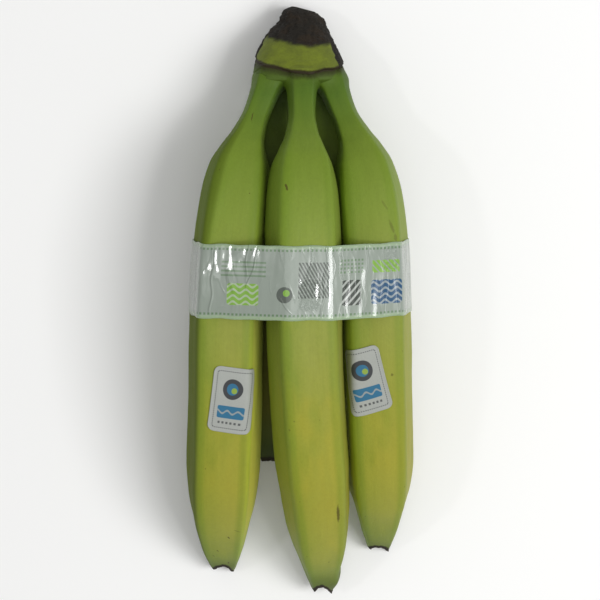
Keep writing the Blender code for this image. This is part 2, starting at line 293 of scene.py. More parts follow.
class Socket:
    """One output of a shader node. Arithmetic on it adds Math nodes."""

    def __init__(self, shader: "Shader", output: bpy.types.NodeSocket) -> None:
        """Wrap a node's output for the shader that holds it."""
        self.shader = shader
        self.output = output

    def __add__(self, other: "Number") -> "Socket":
        """This value plus another."""
        return self.shader.math("ADD", self, other)

    def __sub__(self, other: "Number") -> "Socket":
        """This value less another."""
        return self.shader.math("SUBTRACT", self, other)

    def __rsub__(self, other: "Number") -> "Socket":
        """Another value less this one."""
        return self.shader.math("SUBTRACT", other, self)

    def __mul__(self, other: "Number") -> "Socket":
        """This value times another."""
        return self.shader.math("MULTIPLY", self, other)

    def __truediv__(self, other: "Number") -> "Socket":
        """This value over another."""
        return self.shader.math("DIVIDE", self, other)

    def __abs__(self) -> "Socket":
        """This value without its sign."""
        return self.shader.math("ABSOLUTE", self)

    __radd__ = __add__
    __rmul__ = __mul__


Number = Union[Socket, float]


class Shader:
    """A material's nodes, written as expressions on sockets."""

    def __init__(self, name: str, **uniform: float) -> None:
        """Start a material.

        Args:
            name: The material's name.
            uniform: Values that are the same all over, by the shader's socket name in lower case.
        """
        self.material = bpy.data.materials.new(name)
        self.material.use_nodes = True
        self.tree = self.material.node_tree
        self.surface = self.tree.nodes["Principled BSDF"]
        for name, value in uniform.items():
            socket = name.replace("_", " ").title().replace("Ior", "IOR")
            self.surface.inputs[socket].default_value = value

    def node(self, kind: str, settings: Optional[dict] = None, inputs: Optional[dict] = None,
             output: Union[int, str] = 0) -> Socket:
        """Add a node.

        Args:
            kind: Blender's name of the node's type.
            settings: The node's own properties, or a colour ramp's stops.
            inputs: Values or sockets, by the name or number of the input.
            output: Which output is wanted.

        Returns:
            The wanted output.
        """
        node = self.tree.nodes.new(kind)
        for name, value in (settings or {}).items():
            if name == "stops":
                self.set_stops(node.color_ramp, value)
            else:
                setattr(node, name, value)
        for key, value in (inputs or {}).items():
            if isinstance(value, Socket):
                self.tree.links.new(value.output, node.inputs[key])
            else:
                node.inputs[key].default_value = value
        return Socket(self, node.outputs[output])

    @staticmethod
    def set_stops(ramp: bpy.types.ColorRamp, stops: Sequence[tuple[float, Colour]]) -> None:
        """Give a colour ramp its stops, each a place and a colour."""
        while len(ramp.elements) < len(stops):
            ramp.elements.new(1.0)
        for element, (place, colour) in zip(ramp.elements, stops):
            element.position = place
            element.color = (*colour, 1.0)

    def math(self, operation: str, *values: Number) -> Socket:
        """A Math node on one, two or three values."""
        return self.node("ShaderNodeMath", {"operation": operation}, dict(enumerate(values)))

    def step(self, value: Number, low: float, high: float) -> Socket:
        """Rise smoothly from 0 at low to 1 at high."""
        return self.node("ShaderNodeMapRange", {"interpolation_type": "SMOOTHSTEP"},
                         {"Value": value, "From Min": low, "From Max": high})

    def fall(self, value: Number, low: float, high: float) -> Socket:
        """Fall smoothly from 1 at low to 0 at high."""
        return self.node("ShaderNodeMapRange", {"interpolation_type": "SMOOTHSTEP"},
                         {"Value": value, "From Min": low, "From Max": high, "To Min": 1.0, "To Max": 0.0})

    def number(self, name: str) -> Socket:
        """A number kept with the mesh's points."""
        return self.node("ShaderNodeAttribute", {"attribute_name": name}, output="Fac")

    def vector(self, name: str) -> Socket:
        """A vector kept with the mesh's points."""
        return self.node("ShaderNodeAttribute", {"attribute_name": name}, output="Vector")

    def place(self) -> Socket:
        """Position on the object, in metres."""
        return self.node("ShaderNodeTexCoord", output="Object")

    def flat(self) -> Socket:
        """Place on the unrolled surface, in millimetres."""
        return self.node("ShaderNodeUVMap", {"uv_map": "flat"})

    def scaled(self, vector: Socket, scale: Sequence[float]) -> Socket:
        """A vector with each coordinate times its own number."""
        return self.node("ShaderNodeVectorMath", {"operation": "MULTIPLY"}, {0: vector, 1: tuple(scale)})

    def parts(self, vector: Socket) -> tuple[Socket, Socket, Socket]:
        """The three coordinates of a vector."""
        split = self.node("ShaderNodeSeparateXYZ", inputs={0: vector})
        return tuple(Socket(self, output) for output in split.output.node.outputs)

    def noise(self, vector: Socket, scale: float, detail: float = 2.0, roughness: float = 0.5,
              distortion: float = 0.0) -> Socket:
        """Cloudy noise from 0 to 1, which lies mostly near 0.5."""
        return self.node("ShaderNodeTexNoise", inputs={
            "Vector": vector, "Scale": scale, "Detail": detail, "Roughness": roughness,
            "Distortion": distortion})

    def ramp(self, value: Number, stops: Sequence[tuple[float, Colour]]) -> Socket:
        """A colour that runs through stops."""
        return self.node("ShaderNodeValToRGB", {"stops": stops}, {0: value})

    def mix(self, factor: Number, base: Union[Socket, Colour], top: Union[Socket, Colour],
            blend: str = "MIX") -> Socket:
        """One colour laid over another by a factor."""
        base, top = (c if isinstance(c, Socket) else (*c, 1.0) for c in (base, top))
        return self.node("ShaderNodeMix", {"data_type": "RGBA", "blend_type": blend},
                         {0: factor, 6: base, 7: top}, output=2)

    def dim(self, colour: Union[Socket, Colour], factor: Number) -> Socket:
        """A colour made darker or lighter by a factor."""
        return self.node("ShaderNodeVectorMath", {"operation": "SCALE"}, {0: colour, "Scale": factor})

    def bump(self, height: Socket, strength: float, distance: float) -> Socket:
        """Surface direction changed by a height."""
        return self.node("ShaderNodeBump", inputs={"Strength": strength, "Distance": distance,
                                                   "Height": height})

    def blot(self, across: Socket, along: Socket, centre: tuple[float, float], half: tuple[float, float],
             edge: float = 0.12, round_corner: float = 0.0) -> Socket:
        """A filled rectangle with round corners on the unrolled surface.

        Args:
            across: First coordinate.
            along: Second coordinate.
            centre: The rectangle's middle.
            half: Half its width and half its height.
            edge: Width over which its rim fades.
            round_corner: Radius of its corners.

        Returns:
            1 inside and 0 outside.
        """
        beyond = [self.math("MAXIMUM", abs(value - middle) - (reach - round_corner), 0.0)
                  for value, middle, reach in zip((across, along), centre, half)]
        reach = self.math("SQRT", beyond[0] * beyond[0] + beyond[1] * beyond[1])
        return self.fall(reach, round_corner, round_corner + edge)

    def disc(self, across: Socket, along: Socket, centre: tuple[float, float], radius: float) -> Socket:
        """A filled circle: a rectangle whose corners are as round as they can be."""
        return self.blot(across, along, centre, (radius, radius), round_corner=radius)

    def beats(self, value: Socket, pitch: float, share: float) -> Socket:
        """Marks that repeat with a pitch, each as wide as a share of it."""
        phase = abs(self.math("FRACT", value / pitch) - 0.5)
        return self.fall(phase, 0.5 * share, 0.5 * share + 0.12)

    def finish(self, colour: Union[Socket, Colour], roughness: Number, normal: Optional[Socket] = None,
               alpha: Optional[Socket] = None) -> bpy.types.Material:
        """Connect what varies to the surface shader.

        Args:
            colour: Base colour.
            roughness: Roughness.
            normal: Surface direction with its bumps.
            alpha: How much of the surface is there.

        Returns:
            The finished material.
        """
        if isinstance(colour, tuple):
            colour = (*colour, 1.0)
        wanted = {"Base Color": colour, "Roughness": roughness, "Normal": normal, "Alpha": alpha}
        for name, value in wanted.items():
            if isinstance(value, Socket):
                self.tree.links.new(value.output, self.surface.inputs[name])
            elif value is not None:
                self.surface.inputs[name].default_value = value
        return self.material


@dataclass(frozen=True)
class Mark:
    """A scar, streak or speck in the peel.

    Attributes:
        from_tip: Distance back from the finger's tip.
        angle: Degrees round the finger, with 90 on top.
        length: Half its length along the finger.
        width: Half its width.
        tilt: Degrees that it leans from the finger's own direction.
        depth: How dark it is, from 0 to 1.
    """

    from_tip: float
    angle: float
    length: float
    width: float
    tilt: float = 0.0
    depth: float = 0.8


@dataclass(frozen=True)
class PeelFinish:
    """Unripe peel: green at the neck, yellower down the body, dull, with fine lengthwise fibres.

    Attributes:
        ripeness: Colours by share of the length, from the crown to the tip.
        warm: Yellow of the patches that have turned.
        leafy_and_shade_green: Green of the ridges and cloudy patches, and painted shade on the left side.
        flank_shade_green: Painted shade on the flanks.
        cover_shade_green: Painted shade on a back finger's covered side.
        under_lip_brown_and_shade: Brown under the crown's lip, partly painted shade.
        scar: Brown of scars and specks.
        scorched: Dried black of the blossom end.
        scar_spacing: Radius that turns a mark's angle into a distance.
        roughness: Usual roughness.
    """

    ripeness: tuple = ((0.0, tone(70, 90, 28)), (0.07, tone(76, 103, 30)), (0.18, tone(110, 131, 43)),
                       (0.28, tone(124, 142, 54)), (0.46, tone(141, 147, 64)), (0.62, tone(147, 149, 56)),
                       (0.74, tone(154, 151, 55)), (0.84, tone(149, 151, 62)), (0.9, tone(127, 138, 58)),
                       (0.95, tone(97, 111, 43)), (1.0, tone(72, 83, 32)))
    warm: Colour = tone(172, 158, 52)
    leafy_and_shade_green: Colour = tone(100, 126, 28)
    flank_shade_green: Colour = tone(74, 88, 14)
    cover_shade_green: Colour = tone(34, 42, 10)
    under_lip_brown_and_shade: Colour = tone(48, 52, 18)
    scar: Colour = tone(70, 56, 22)
    scorched: Colour = tone(48, 42, 34)
    scar_spacing: float = 15.5
    roughness: float = 0.55

    def material(self, name: str, length: float, marks: Sequence[Mark],
                 warm_patch: float) -> bpy.types.Material:
        """Peel for one finger.

        Args:
            name: The material's name.
            length: The finger's length.
            marks: Its scars and specks.
            warm_patch: How strongly its lower third has turned.

        Returns:
            The material.
        """
        shader = Shader(name, specular_ior_level=0.18)
        flow = shader.vector("flow")
        flank_shade_share = shader.math("MAXIMUM", shader.number("painted_flank_shading"), 0.0)
        fibres = shader.noise(shader.scaled(flow, (1.3, 1.3, 0.045)), 1.0, 4.0, 0.6)
        threads = shader.noise(shader.scaled(flow, (0.42, 0.42, 0.03)), 1.0, 2.0)
        grain = shader.noise(flow, 0.7, 5.0, 0.62)
        colour = self.greened_and_shaded(shader, flow, flank_shade_share, self.ripened(shader, flow, warm_patch))
        colour = shader.dim(colour, 0.9 + (fibres - 0.5) * 0.08 + (threads - 0.5) * 0.06 + grain * 0.2)
        colour = self.with_specks(shader, flow, colour)
        colour = self.with_marks(shader, flow, colour, length, marks)
        # Brown under the crown's lip, partly painted shade.
        lip_brown_and_shade = shader.step(shader.number("lip_brown_and_shade") + (grain - 0.5) * 0.6, 0.2, 1.0)
        colour = shader.mix(lip_brown_and_shade * 0.9, colour, self.under_lip_brown_and_shade)
        scorch = shader.step(shader.number("scorch") + (grain - 0.5) * 0.5, 0.3, 0.85)
        colour = shader.mix(scorch, colour, self.scorched)
        height = fibres * 0.3 + threads * 0.3 + grain * 0.6
        roughness = self.roughness + (grain - 0.5) * 0.16 + scorch * 0.3 + flank_shade_share * 0.25
        return shader.finish(colour, roughness, shader.bump(height, 0.35, 0.0006))

    def ripened(self, shader: Shader, flow: Socket, warm_patch: float) -> Socket:
        """Colour by place along the finger, unsettled by clouds, with its lower third turned yellow."""
        along = shader.number("along")
        clouds = shader.noise(shader.scaled(flow, (0.05, 0.05, 0.022)), 1.0, 3.0)
        colour = shader.ramp(along + (clouds - 0.5) * 0.14, self.ripeness)
        turning = shader.step(clouds + (along - 0.5) * 0.25, 0.5, 0.78) * shader.fall(along, 0.8, 0.93)
        return shader.mix(turning * warm_patch, colour, self.warm)

    def greened_and_shaded(self, shader: Shader, flow: Socket, flank_shade_share: Socket, colour: Socket) -> Socket:
        """Greener clouds and ridges, painted shade on the left side, flanks and back fingers, and painted
        light on some flanks.
        """
        green = shader.step(shader.noise(shader.scaled(flow, (0.09, 0.09, 0.03)), 1.0, 4.0), 0.52, 0.75)
        patches = shader.math("MAXIMUM", green * 0.3, shader.number("ridge") * 0.4)
        colour = shader.mix(patches, colour, self.leafy_and_shade_green)
        # Painted shade: the left side of each finger is greener and darker.
        colour = shader.mix(shader.fall(shader.parts(flow)[0], -11.0, 4.0) * 0.42, colour, self.leafy_and_shade_green)
        # Painted shade on the flanks where the flank value is positive.
        colour = shader.mix(flank_shade_share * 0.75, colour, self.flank_shade_green)
        # Painted light: flanks where the flank value is negative are made paler.
        colour = shader.dim(colour, 1.0 - shader.math("MINIMUM", shader.number("painted_flank_shading"), 0.0) * 0.5)
        # Painted shade on a back finger's covered upper side.
        return shader.mix(shader.number("cover_shade") * 0.66, colour, self.cover_shade_green)

    def with_specks(self, shader: Shader, flow: Socket, colour: Socket) -> Socket:
        """Tiny dark pores, on a few of the cells of a loose pattern."""
        cells = {"Vector": flow, "Scale": 0.16, "Randomness": 1.0}
        near = shader.node("ShaderNodeTexVoronoi", inputs=cells)
        chance = shader.parts(shader.node("ShaderNodeTexVoronoi", inputs=cells, output="Color"))[0]
        speck = shader.fall(near, 0.03, 0.06) * shader.step(chance, 0.62, 0.66)
        return shader.mix(speck * 0.6, colour, self.scar)

    def with_marks(self, shader: Shader, flow: Socket, colour: Socket, length: float,
                   marks: Sequence[Mark]) -> Socket:
        """Each mark as a dark ellipse with a frayed edge, placed on the unrolled finger."""
        x, y, z = shader.parts(flow)
        angle = shader.math("ARCTAN2", y, x)
        frayed = shader.noise(flow, 1.1, 3.0)
        for mark in marks:
            across = (angle - math.radians(mark.angle)) * self.scar_spacing
            down = z - (length - mark.from_tip)
            lean = math.radians(mark.tilt)
            side = (across * math.cos(lean) + down * math.sin(lean)) / mark.width
            run = (down * math.cos(lean) - across * math.sin(lean)) / mark.length
            spread = side * side + run * run + (frayed - 0.5) * 1.4
            colour = shader.mix(shader.fall(spread, 0.3, 1.2) * mark.depth, colour, self.scar)
        return colour


@dataclass(frozen=True)
class CrownFinish:
    """The crown: green below its lip, an olive trimmed strip above it, and a dried black end.

    Attributes:
        green: Skin under the lip.
        under_lip_brown_shade: The same skin close to the lip, brown and partly painted shade.
        olive: Darker green of the trimmed strip.
        olive_light: Lighter green of the strip.
        lip: Brown line along the lip.
        dried: Black of the dried end.
        dried_brown: Brown clouds in the black.
        flake: Grey flakes on the black.
        roughness: Roughness of the fresh skin.
    """

    green: Colour = tone(72, 93, 27)
    under_lip_brown_shade: Colour = tone(48, 52, 18)
    olive: Colour = tone(96, 106, 32)
    olive_light: Colour = tone(112, 124, 34)
    lip: Colour = tone(40, 30, 14)
    dried: Colour = tone(34, 31, 26)
    dried_brown: Colour = tone(50, 39, 27)
    flake: Colour = tone(78, 76, 68)
    roughness: float = 0.62

    def material(self) -> bpy.types.Material:
        """The crown's material, whose zones are kept with the mesh's points."""
        shader = Shader("crown_skin", specular_ior_level=0.22)
        place = shader.scaled(shader.place(), (1000.0, 1000.0, 1000.0))
        level = shader.number("above_lip")
        grain = shader.noise(place, 0.9, 6.0, 0.65)
        clouds = shader.noise(place, 0.16, 3.0)
        dried = shader.step(shader.number("dried") + (grain - 0.5) * 0.5, 0.08, 0.92)
        strip = shader.mix(shader.step(clouds, 0.3, 0.75), self.olive, self.olive_light)
        strip = shader.dim(strip, 0.72 + grain * 0.56)
        # Brown under the lip, partly painted shade.
        lip_brown_and_shade = shader.step(shader.step(level, -7.0, -0.5) + (grain - 0.5) * 0.6, 0.2, 1.0)
        below = shader.mix(lip_brown_and_shade * 0.9, self.green, self.under_lip_brown_shade)
        colour = shader.mix(shader.step(level, -0.35, 0.1), below, strip)
        edge = shader.fall(abs(level + 0.35 + (grain - 0.5) * 0.8), 0.4, 1.3)
        colour = shader.mix(edge * 0.9, colour, self.lip)
        bark = shader.mix(shader.step(clouds, 0.45, 0.7) * 0.6, self.dried, self.dried_brown)
        bark = shader.dim(bark, 0.55 + grain * 0.9)
        flakes = shader.step(shader.noise(place, 1.7, 3.0), 0.7, 0.74)
        bark = shader.mix(flakes * 0.5, bark, self.flake)
        colour = shader.mix(dried, colour, bark)
        height = grain * (0.25 + dried * 1.2)
        return shader.finish(colour, self.roughness + dried * 0.2, shader.bump(height, 0.5, 0.0012))


@dataclass(frozen=True)
class FilmFinish:
    """Thin glossy film with a pale printed field between two dotted lines, clearer at both edges.

    Attributes:
        field: Ground of the print.
        mint: Ground of the two edges.
        ink_green: Dotted lines and rules.
        ink_dark: Dark ornament.
        ink_leaf: Bright green ornament.
        ink_blue: Blue ornament.
        pale: Stripes in the panels.
        crumpled: Middle and half size of each patch of fine crumples.
        half_height: Half the film's height.
        dot_pitch: Distance from dot to dot.
        dot_inset: Distance of the dotted lines from the film's edges.
        fold_breadth: Distance from a fold's line to its edge, for a width of 1.
        fold_height: Relief of a fold, for a height of 1.
    """

    field: Colour = tone(146, 156, 145)
    mint: Colour = tone(162, 184, 150)
    ink_green: Colour = tone(92, 124, 84)
    ink_dark: Colour = tone(58, 66, 58)
    ink_leaf: Colour = tone(126, 172, 62)
    ink_blue: Colour = tone(22, 76, 114)
    pale: Colour = tone(190, 196, 188)
    crumpled: tuple = (((9.5, -5.0), (3.6, 6.0)), ((47.0, 9.0), (2.4, 4.5)))
    half_height: float = 16.0
    dot_pitch: float = 1.8
    dot_inset: float = 2.1
    fold_breadth: float = 2.6
    fold_height: float = 4.0

    def material(self) -> bpy.types.Material:
        """The film's material on its unrolled surface: around the hand, and up it."""
        shader = Shader("band_print", coat_weight=0.8, coat_roughness=0.05, specular_ior_level=0.5)
        around, up, _ = shader.parts(shader.flat())
        line = self.half_height - self.dot_inset
        inside = shader.fall(abs(up), line, line + 1.2)
        colour = shader.mix(inside, self.mint, self.field)
        dots = shader.beats(around, self.dot_pitch, 0.42)
        dots = dots * shader.fall(abs(abs(up) - line), 0.4, 0.55)
        colour = shader.mix(dots * 0.85, colour, self.ink_green)
        for mask, ink in self.prints(shader, around, up):
            colour = shader.mix(mask, colour, ink)
        height = self.crinkles(shader, around, up)
        alpha = 0.74 + inside * 0.16
        return shader.finish(colour, 0.24, shader.bump(height, 0.5, 0.0004), alpha)

    def crinkles(self, shader: Shader, around: Socket, up: Socket) -> Socket:
        """Height of the film's fine relief: faint crinkles, crumpled patches and sharp folds."""
        crinkle = shader.noise(shader.scaled(shader.flat(), (0.16, 0.045, 1.0)), 1.0, 1.0, 0.5, 0.4)
        sharp = 1.0 - shader.math("MINIMUM", abs(crinkle - 0.5) * 22.0, 1.0)
        height = sharp * 0.28 + shader.noise(shader.scaled(shader.flat(), (0.2, 0.1, 1.0)), 1.0, 1.0) * 0.8
        crumple = abs(shader.noise(shader.flat(), 0.62, 2.0, 0.6, 0.8) - 0.5)
        for centre, half in self.crumpled:
            height = height + shader.blot(around, up, centre, half, 1.5, 2.0) * crumple * 7.0
        for crease in CREASES:
            height = height + self.fold(shader, around, up, crease)
        return height

    def fold(self, shader: Shader, around: Socket, up: Socket, crease: "Crease") -> Socket:
        """Height of one sharp fold: a ridge along a leaning line that fades at both ends."""
        middle = 0.5 * (crease.low + crease.high)
        reach = 0.5 * (crease.high - crease.low)
        rate = crease.lean / (crease.high - crease.low)
        bend = shader.math("SINE", up * 0.45 + crease.around) * 0.5
        offset = abs(around - (crease.around - crease.lean * 0.5) - (up - middle) * rate - bend)
        along = shader.fall(abs(up - middle), reach - 1.0, reach + 1.5)
        profile = shader.fall(offset, 0.0, self.fold_breadth * crease.width)
        return profile * along * (self.fold_height * crease.height)

    def prints(self, shader: Shader, around: Socket, up: Socket) -> list[tuple[Socket, Colour]]:
        """Plain ornament of the band, from left to right: rules, panels, a disc and hatching."""
        rules = shader.beats(up, 1.9, 0.3)
        bars = shader.beats(around + up * 0.6, 1.5, 0.45)
        grid = shader.beats(around, 1.7, 0.4) * shader.beats(up, 1.7, 0.4)
        waves = shader.beats(up + shader.math("SINE", around * 1.1) * 0.8, 2.6, 0.25)
        slants = shader.beats(around + up, 3.0, 0.6)
        green_panel = shader.blot(around, up, (-20.0, -5.2), (7.0, 4.6), round_corner=1.2)
        dark_panel = shader.blot(around, up, (28.0, -4.6), (4.3, 5.4), round_corner=0.8)
        blue_panel = shader.blot(around, up, (45.0, -4.8), (7.5, 5.2), round_corner=1.4)
        return [
            (shader.blot(around, up, (-20.0, 5.4), (10.0, 3.9)) * rules * 0.7, self.ink_green),
            (green_panel, self.ink_leaf),
            (green_panel * waves * 0.6, self.pale),
            (shader.disc(around, up, (-1.5, -5.0), 3.4) * 0.8, self.ink_dark),
            (shader.disc(around, up, (-0.7, -4.2), 1.4), self.ink_leaf),
            (shader.blot(around, up, (11.0, 1.2), (6.6, 7.6)) * bars * 0.85, self.ink_dark),
            (shader.blot(around, up, (28.0, 6.6), (6.4, 3.6)) * grid * 0.8, self.ink_green),
            (dark_panel, self.ink_dark),
            (dark_panel * shader.beats(around - up, 3.4, 0.25) * 0.8, self.pale),
            (blue_panel, self.ink_blue),
            (blue_panel * waves * 0.55, self.pale),
            (shader.blot(around, up, (44.6, 6.2), (6.6, 2.6)) * slants, self.ink_leaf),
        ]


@dataclass(frozen=True)
class StickerFinish:
    """Satin paper with a dotted border and a small plain ornament.

    Attributes:
        paper: The paper.
        rim: Paler grain in the paper.
        ink_dark: Border, disc and row of dots.
        ink_blue: Bar and inner disc.
        ink_green: Smallest disc.
        half: Half the label's width and height.
        inset: Distance of the border from the label's edge.
    """

    paper: Colour = tone(153, 156, 151)
    rim: Colour = tone(168, 171, 165)
    ink_dark: Colour = tone(58, 60, 62)
    ink_blue: Colour = tone(44, 104, 136)
    ink_green: Colour = tone(134, 158, 62)
    half: tuple[float, float] = (9.5, 14.35)
    inset: float = 1.7

    def material(self) -> bpy.types.Material:
        """The sticker's material on its own flat: across, and up."""
        shader = Shader("sticker_print", coat_weight=0.25, coat_roughness=0.2, specular_ior_level=0.4)
        x, y, _ = shader.parts(shader.flat())
        grain = shader.noise(shader.flat(), 1.4, 3.0)
        colour = shader.mix(grain, self.paper, self.rim)
        for mask, ink in self.prints(shader, x, y):
            colour = shader.mix(mask, colour, ink)
        return shader.finish(colour, 0.38, shader.bump(grain, 0.12, 0.0004))

    def prints(self, shader: Shader, x: Socket, y: Socket) -> list[tuple[Socket, Colour]]:
        """Dotted border, a disc above, a wavy bar below and a row of dots."""
        width, height = (h - self.inset for h in self.half)
        outer = shader.blot(x, y, (0.0, 0.0), (width, height), 0.08, 1.4)
        inner = shader.blot(x, y, (0.0, 0.0), (width - 0.42, height - 0.42), 0.08, 1.0)
        dots = shader.math("MAXIMUM", *(
            shader.beats(run, 0.95, 0.5) * shader.step(abs(side), reach - 0.9, reach - 0.6)
            for run, side, reach in ((x, y, height), (y, x, width))))
        bar = shader.blot(x, y, (0.0, -5.2), (6.0, 2.7), round_corner=0.7)
        wave = shader.fall(abs(y + 5.2 + shader.math("SINE", x * 1.3) * 0.7), 0.35, 0.5)
        row = shader.blot(x, y, (0.0, -10.0), (5.2, 0.45)) * shader.beats(x, 1.9, 0.42)
        return [
            ((outer - inner) * dots * 0.8, self.ink_dark),
            (shader.disc(x, y, (0.0, 5.0), 4.4), self.ink_dark),
            (shader.disc(x, y, (0.0, 5.0), 2.5), self.ink_blue),
            (shader.disc(x, y, (0.9, 4.4), 1.2), self.ink_green),
            (bar, self.ink_blue),
            (bar * wave * 0.8, self.paper),
            (row * 0.85, self.ink_dark),
        ]


@dataclass(frozen=True)
class FloorFinish:
    """A plain pale floor.

    Attributes:
        colour: The floor's colour.
        roughness: Its roughness.
    """

    colour: Colour = tone(246, 246, 245)
    roughness: float = 0.9

    def material(self) -> bpy.types.Material:
        """The floor's material, with the faintest unevenness."""
        shader = Shader("pale_floor", specular_ior_level=0.1)
        cloud = shader.noise(shader.place(), 3.0)
        return shader.finish(shader.dim(self.colour, 0.99 + cloud * 0.02), self.roughness)


# Sizes of a finger that the solids share, in millimetres and degrees
FACET_FACING = np.radians((90.0, 14.0, 166.0, 240.0, 300.0))
FACET_SHARPNESS = 13.0
FACET_INSET = 0.905
NECK_ROUNDING_ENDS = 75.0
TIP_ROUNDING_STARTS = 30.0
NECK_FACET_SHARE = 0.6
TIP_FACET_SHARE = 0.5
STALK_STATIONS = 4
LINE_POINTS = 400
WIDTH_FROM_ROOT = ((0.0, 5.2), (5.0, 7.4), (9.0, 7.8), (16.0, 6.6), (27.0, 6.0), (37.0, 7.6),
                   (44.0, 10.4), (52.0, 13.6), (66.0, 15.6), (84.0, 16.3))
TIP_STATIONS = (0.0, 3.0, 7.0, 12.0, 20.0, 31.0, 42.0, 54.0, 66.0, 82.0)
TIP_WIDTHS = (4.6, 5.9, 7.2, 8.6, 10.3, 12.4, 14.1, 15.3, 15.9, 16.4)


def facet_outline(angles: Array, sharpness: float = FACET_SHARPNESS) -> Array:
    """Reach of a unit section whose five flat sides meet in soft ridges.

    It is the sum of each side's cosine over the inset, to a power, and then to the
    power's negative inverse.

    Args:
        angles: Directions round the section.
        sharpness: The power. The ridges are sharper as it rises.

    Returns:
        Distance from the middle in each direction.
    """
    reach = np.maximum(np.cos(angles[..., None] - FACET_FACING), 0.0) / FACET_INSET
    return np.sum(reach ** sharpness, axis=-1) ** (-1.0 / sharpness)


@dataclass(frozen=True)
class Stub:
    """The ragged blossom end of a finger.

    Attributes:
        rim: Degrees round the finger, and how far its broken rim stands past the cut there.
        flare: How far the rim turns out at its side where the degrees are flare_at.
        flare_at: Degrees of that place.
        bulge: Swelling of the right side just before the end.
    """

    rim: tuple[tuple[float, float], ...] = ((-90.0, -0.5), (0.0, 0.6), (90.0, -1.5), (180.0, 0.6))
    flare: float = 0.0
    flare_at: float = 0.0
    bulge: float = 0.0


@dataclass(frozen=True)
class Finger:
    """One finger of the hand, from inside the crown to the blossom end.

    Attributes:
        name: The piece's name.
        path: Points of the middle line, from the crown to the tip.
        girth: Width of the body over the usual one.
        roll: Degrees that the flat sides are turned round the middle line.
        shoulder_shift: How far the shoulder lies nearer to the tip than usual.
        tip_widths: Half widths at the tip's stations.
        stub: The blossom end.
        flank_shading_strengths: Painted shade on the left and right flanks, or painted light where negative.
        shade: How dark the painted shade on a back finger's covered upper side is.
        marks: Scars and specks.
        warm_patch: How strongly the lower third has turned yellow.
        seed: Picks the skin's ripples.
        sides: Points round the finger.
        rings: Rows along the finger.
        rim_reach: Length before the tip over which the rows come to follow the broken rim.
        fillet_reach: Length from the root within which the finger swells to meet the crown.
    """

    name: str
    path: tuple
    girth: float = 1.0
    roll: float = 0.0
    shoulder_shift: float = 0.0
    tip_widths: tuple = TIP_WIDTHS
    stub: Stub = Stub()
    flank_shading_strengths: tuple[float, float] = (1.0, 1.0)
    shade: float = 0.0
    marks: tuple[Mark, ...] = ()
    warm_patch: float = 0.4
    seed: int = 1
    sides: int = 128
    rings: int = 280
    rim_reach: float = 26.0
    fillet_reach: float = 34.0

    @cached_property
    def line(self) -> tuple[Array, Array, Array, Array, Array]:
        """Distances along the middle line, its points, and its three directions there.

        The directions are forward, sideways and upward.
        """
        points = np.array(self.path)
        knots = np.concatenate(([0.0], np.cumsum(np.linalg.norm(np.diff(points, axis=0), axis=1))))
        dense = natural_spline(knots, points, np.linspace(0.0, knots[-1], LINE_POINTS))
        distance, even = even_points(dense, LINE_POINTS)
        travel = unit(np.gradient(even, axis=0))
        side = unit(np.cross((0.0, 0.0, 1.0), travel))
        return distance, even, travel, side, np.cross(travel, side)

    @property
    def length(self) -> float:
        """Length of the middle line."""
        return float(self.line[0][-1])

    def along_line(self, distance: Array) -> tuple[Array, Array, Array]:
        """Centre, sideways and upward direction at distances, running straight on past the tip."""
        at, points, travel, side, up = self.line
        centre, side, up = (np.stack([np.interp(distance, at, table[:, k]) for k in range(3)], axis=-1)
                            for table in (points, side, up))
        return centre + np.maximum(distance - self.length, 0.0)[..., None] * travel[-1], side, up

    def width(self, distance: Array) -> Array:
        """Half width of the finger at distances along it."""
        root = np.array(WIDTH_FROM_ROOT)
        tip = np.stack((TIP_STATIONS, self.tip_widths), axis=1)
        root[STALK_STATIONS:, 0] += self.shoulder_shift
        knots = np.concatenate((root[:, 0], self.length - tip[::-1, 0]))
        widths = np.concatenate((root[:, 1], tip[::-1, 1]))
        body = np.clip(distance / NECK_ROUNDING_ENDS, 0.0, 1.0)
        inside = monotone_curve(knots, widths, np.clip(distance, 0.0, self.length))
        return inside * (1.0 + (self.girth - 1.0) * body) - 0.1 * np.maximum(distance - self.length, 0.0)

    def radius(self, distance: Array, angles: Array) -> Array:
        """Distance of the skin from the middle line."""
        neck = np.clip(distance / NECK_ROUNDING_ENDS, 0.0, 1.0)
        tip = np.clip((self.length - distance) / TIP_ROUNDING_STARTS, 0.0, 1.0)
        share = np.minimum(NECK_FACET_SHARE + (1.0 - NECK_FACET_SHARE) * neck,
                           TIP_FACET_SHARE + (1.0 - TIP_FACET_SHARE) * tip)
        outline = facet_outline(angles - math.radians(self.roll))
        return self.width(distance.ravel()).reshape(distance.shape) * (1.0 + share * (outline - 1.0))

    def skin(self, distance: Array, angles: Array) -> Array:
        """Points of the skin: the middle line's point plus the radius outwards at the angle."""
        centre = self.along_line(distance)[0]
        return centre + self.radius(distance, angles)[..., None] * self.outward(distance, angles)

    def outward(self, distance: Array, angles: Array) -> Array:
        """Unit vectors out from the middle line: sideways by the cosine and up by the sine."""
        _, side, up = self.along_line(distance)
        return np.cos(angles)[..., None] * side + np.sin(angles)[..., None] * up

    def clearance_from(self, points: Array) -> Array:
        """About how far points are outside the skin, or inside it where negative."""
        at, line, travel, side, up = (table[::4] for table in self.line)
        nearest = np.argmin(np.linalg.norm(points[..., None, :] - line, axis=-1), axis=-1)
        offset = points - line[nearest]
        x, y, past = (np.sum(offset * table[nearest], axis=-1) for table in (side, up, travel))
        return np.maximum(np.hypot(x, y) - self.radius(at[nearest], np.arctan2(y, x)), np.abs(past) - 1.5)

    def rim_shift(self, angles: Array) -> Array:
        """How far the broken rim stands past the cut at each angle."""
        degrees, stand = zip(*self.stub.rim)
        circle = np.stack((np.cos(angles), np.sin(angles)), axis=-1)
        jagged = 0.2 * ripples(circle, 0.35, self.seed)
        return np.interp(np.degrees(angles), degrees, stand, period=360.0) + jagged

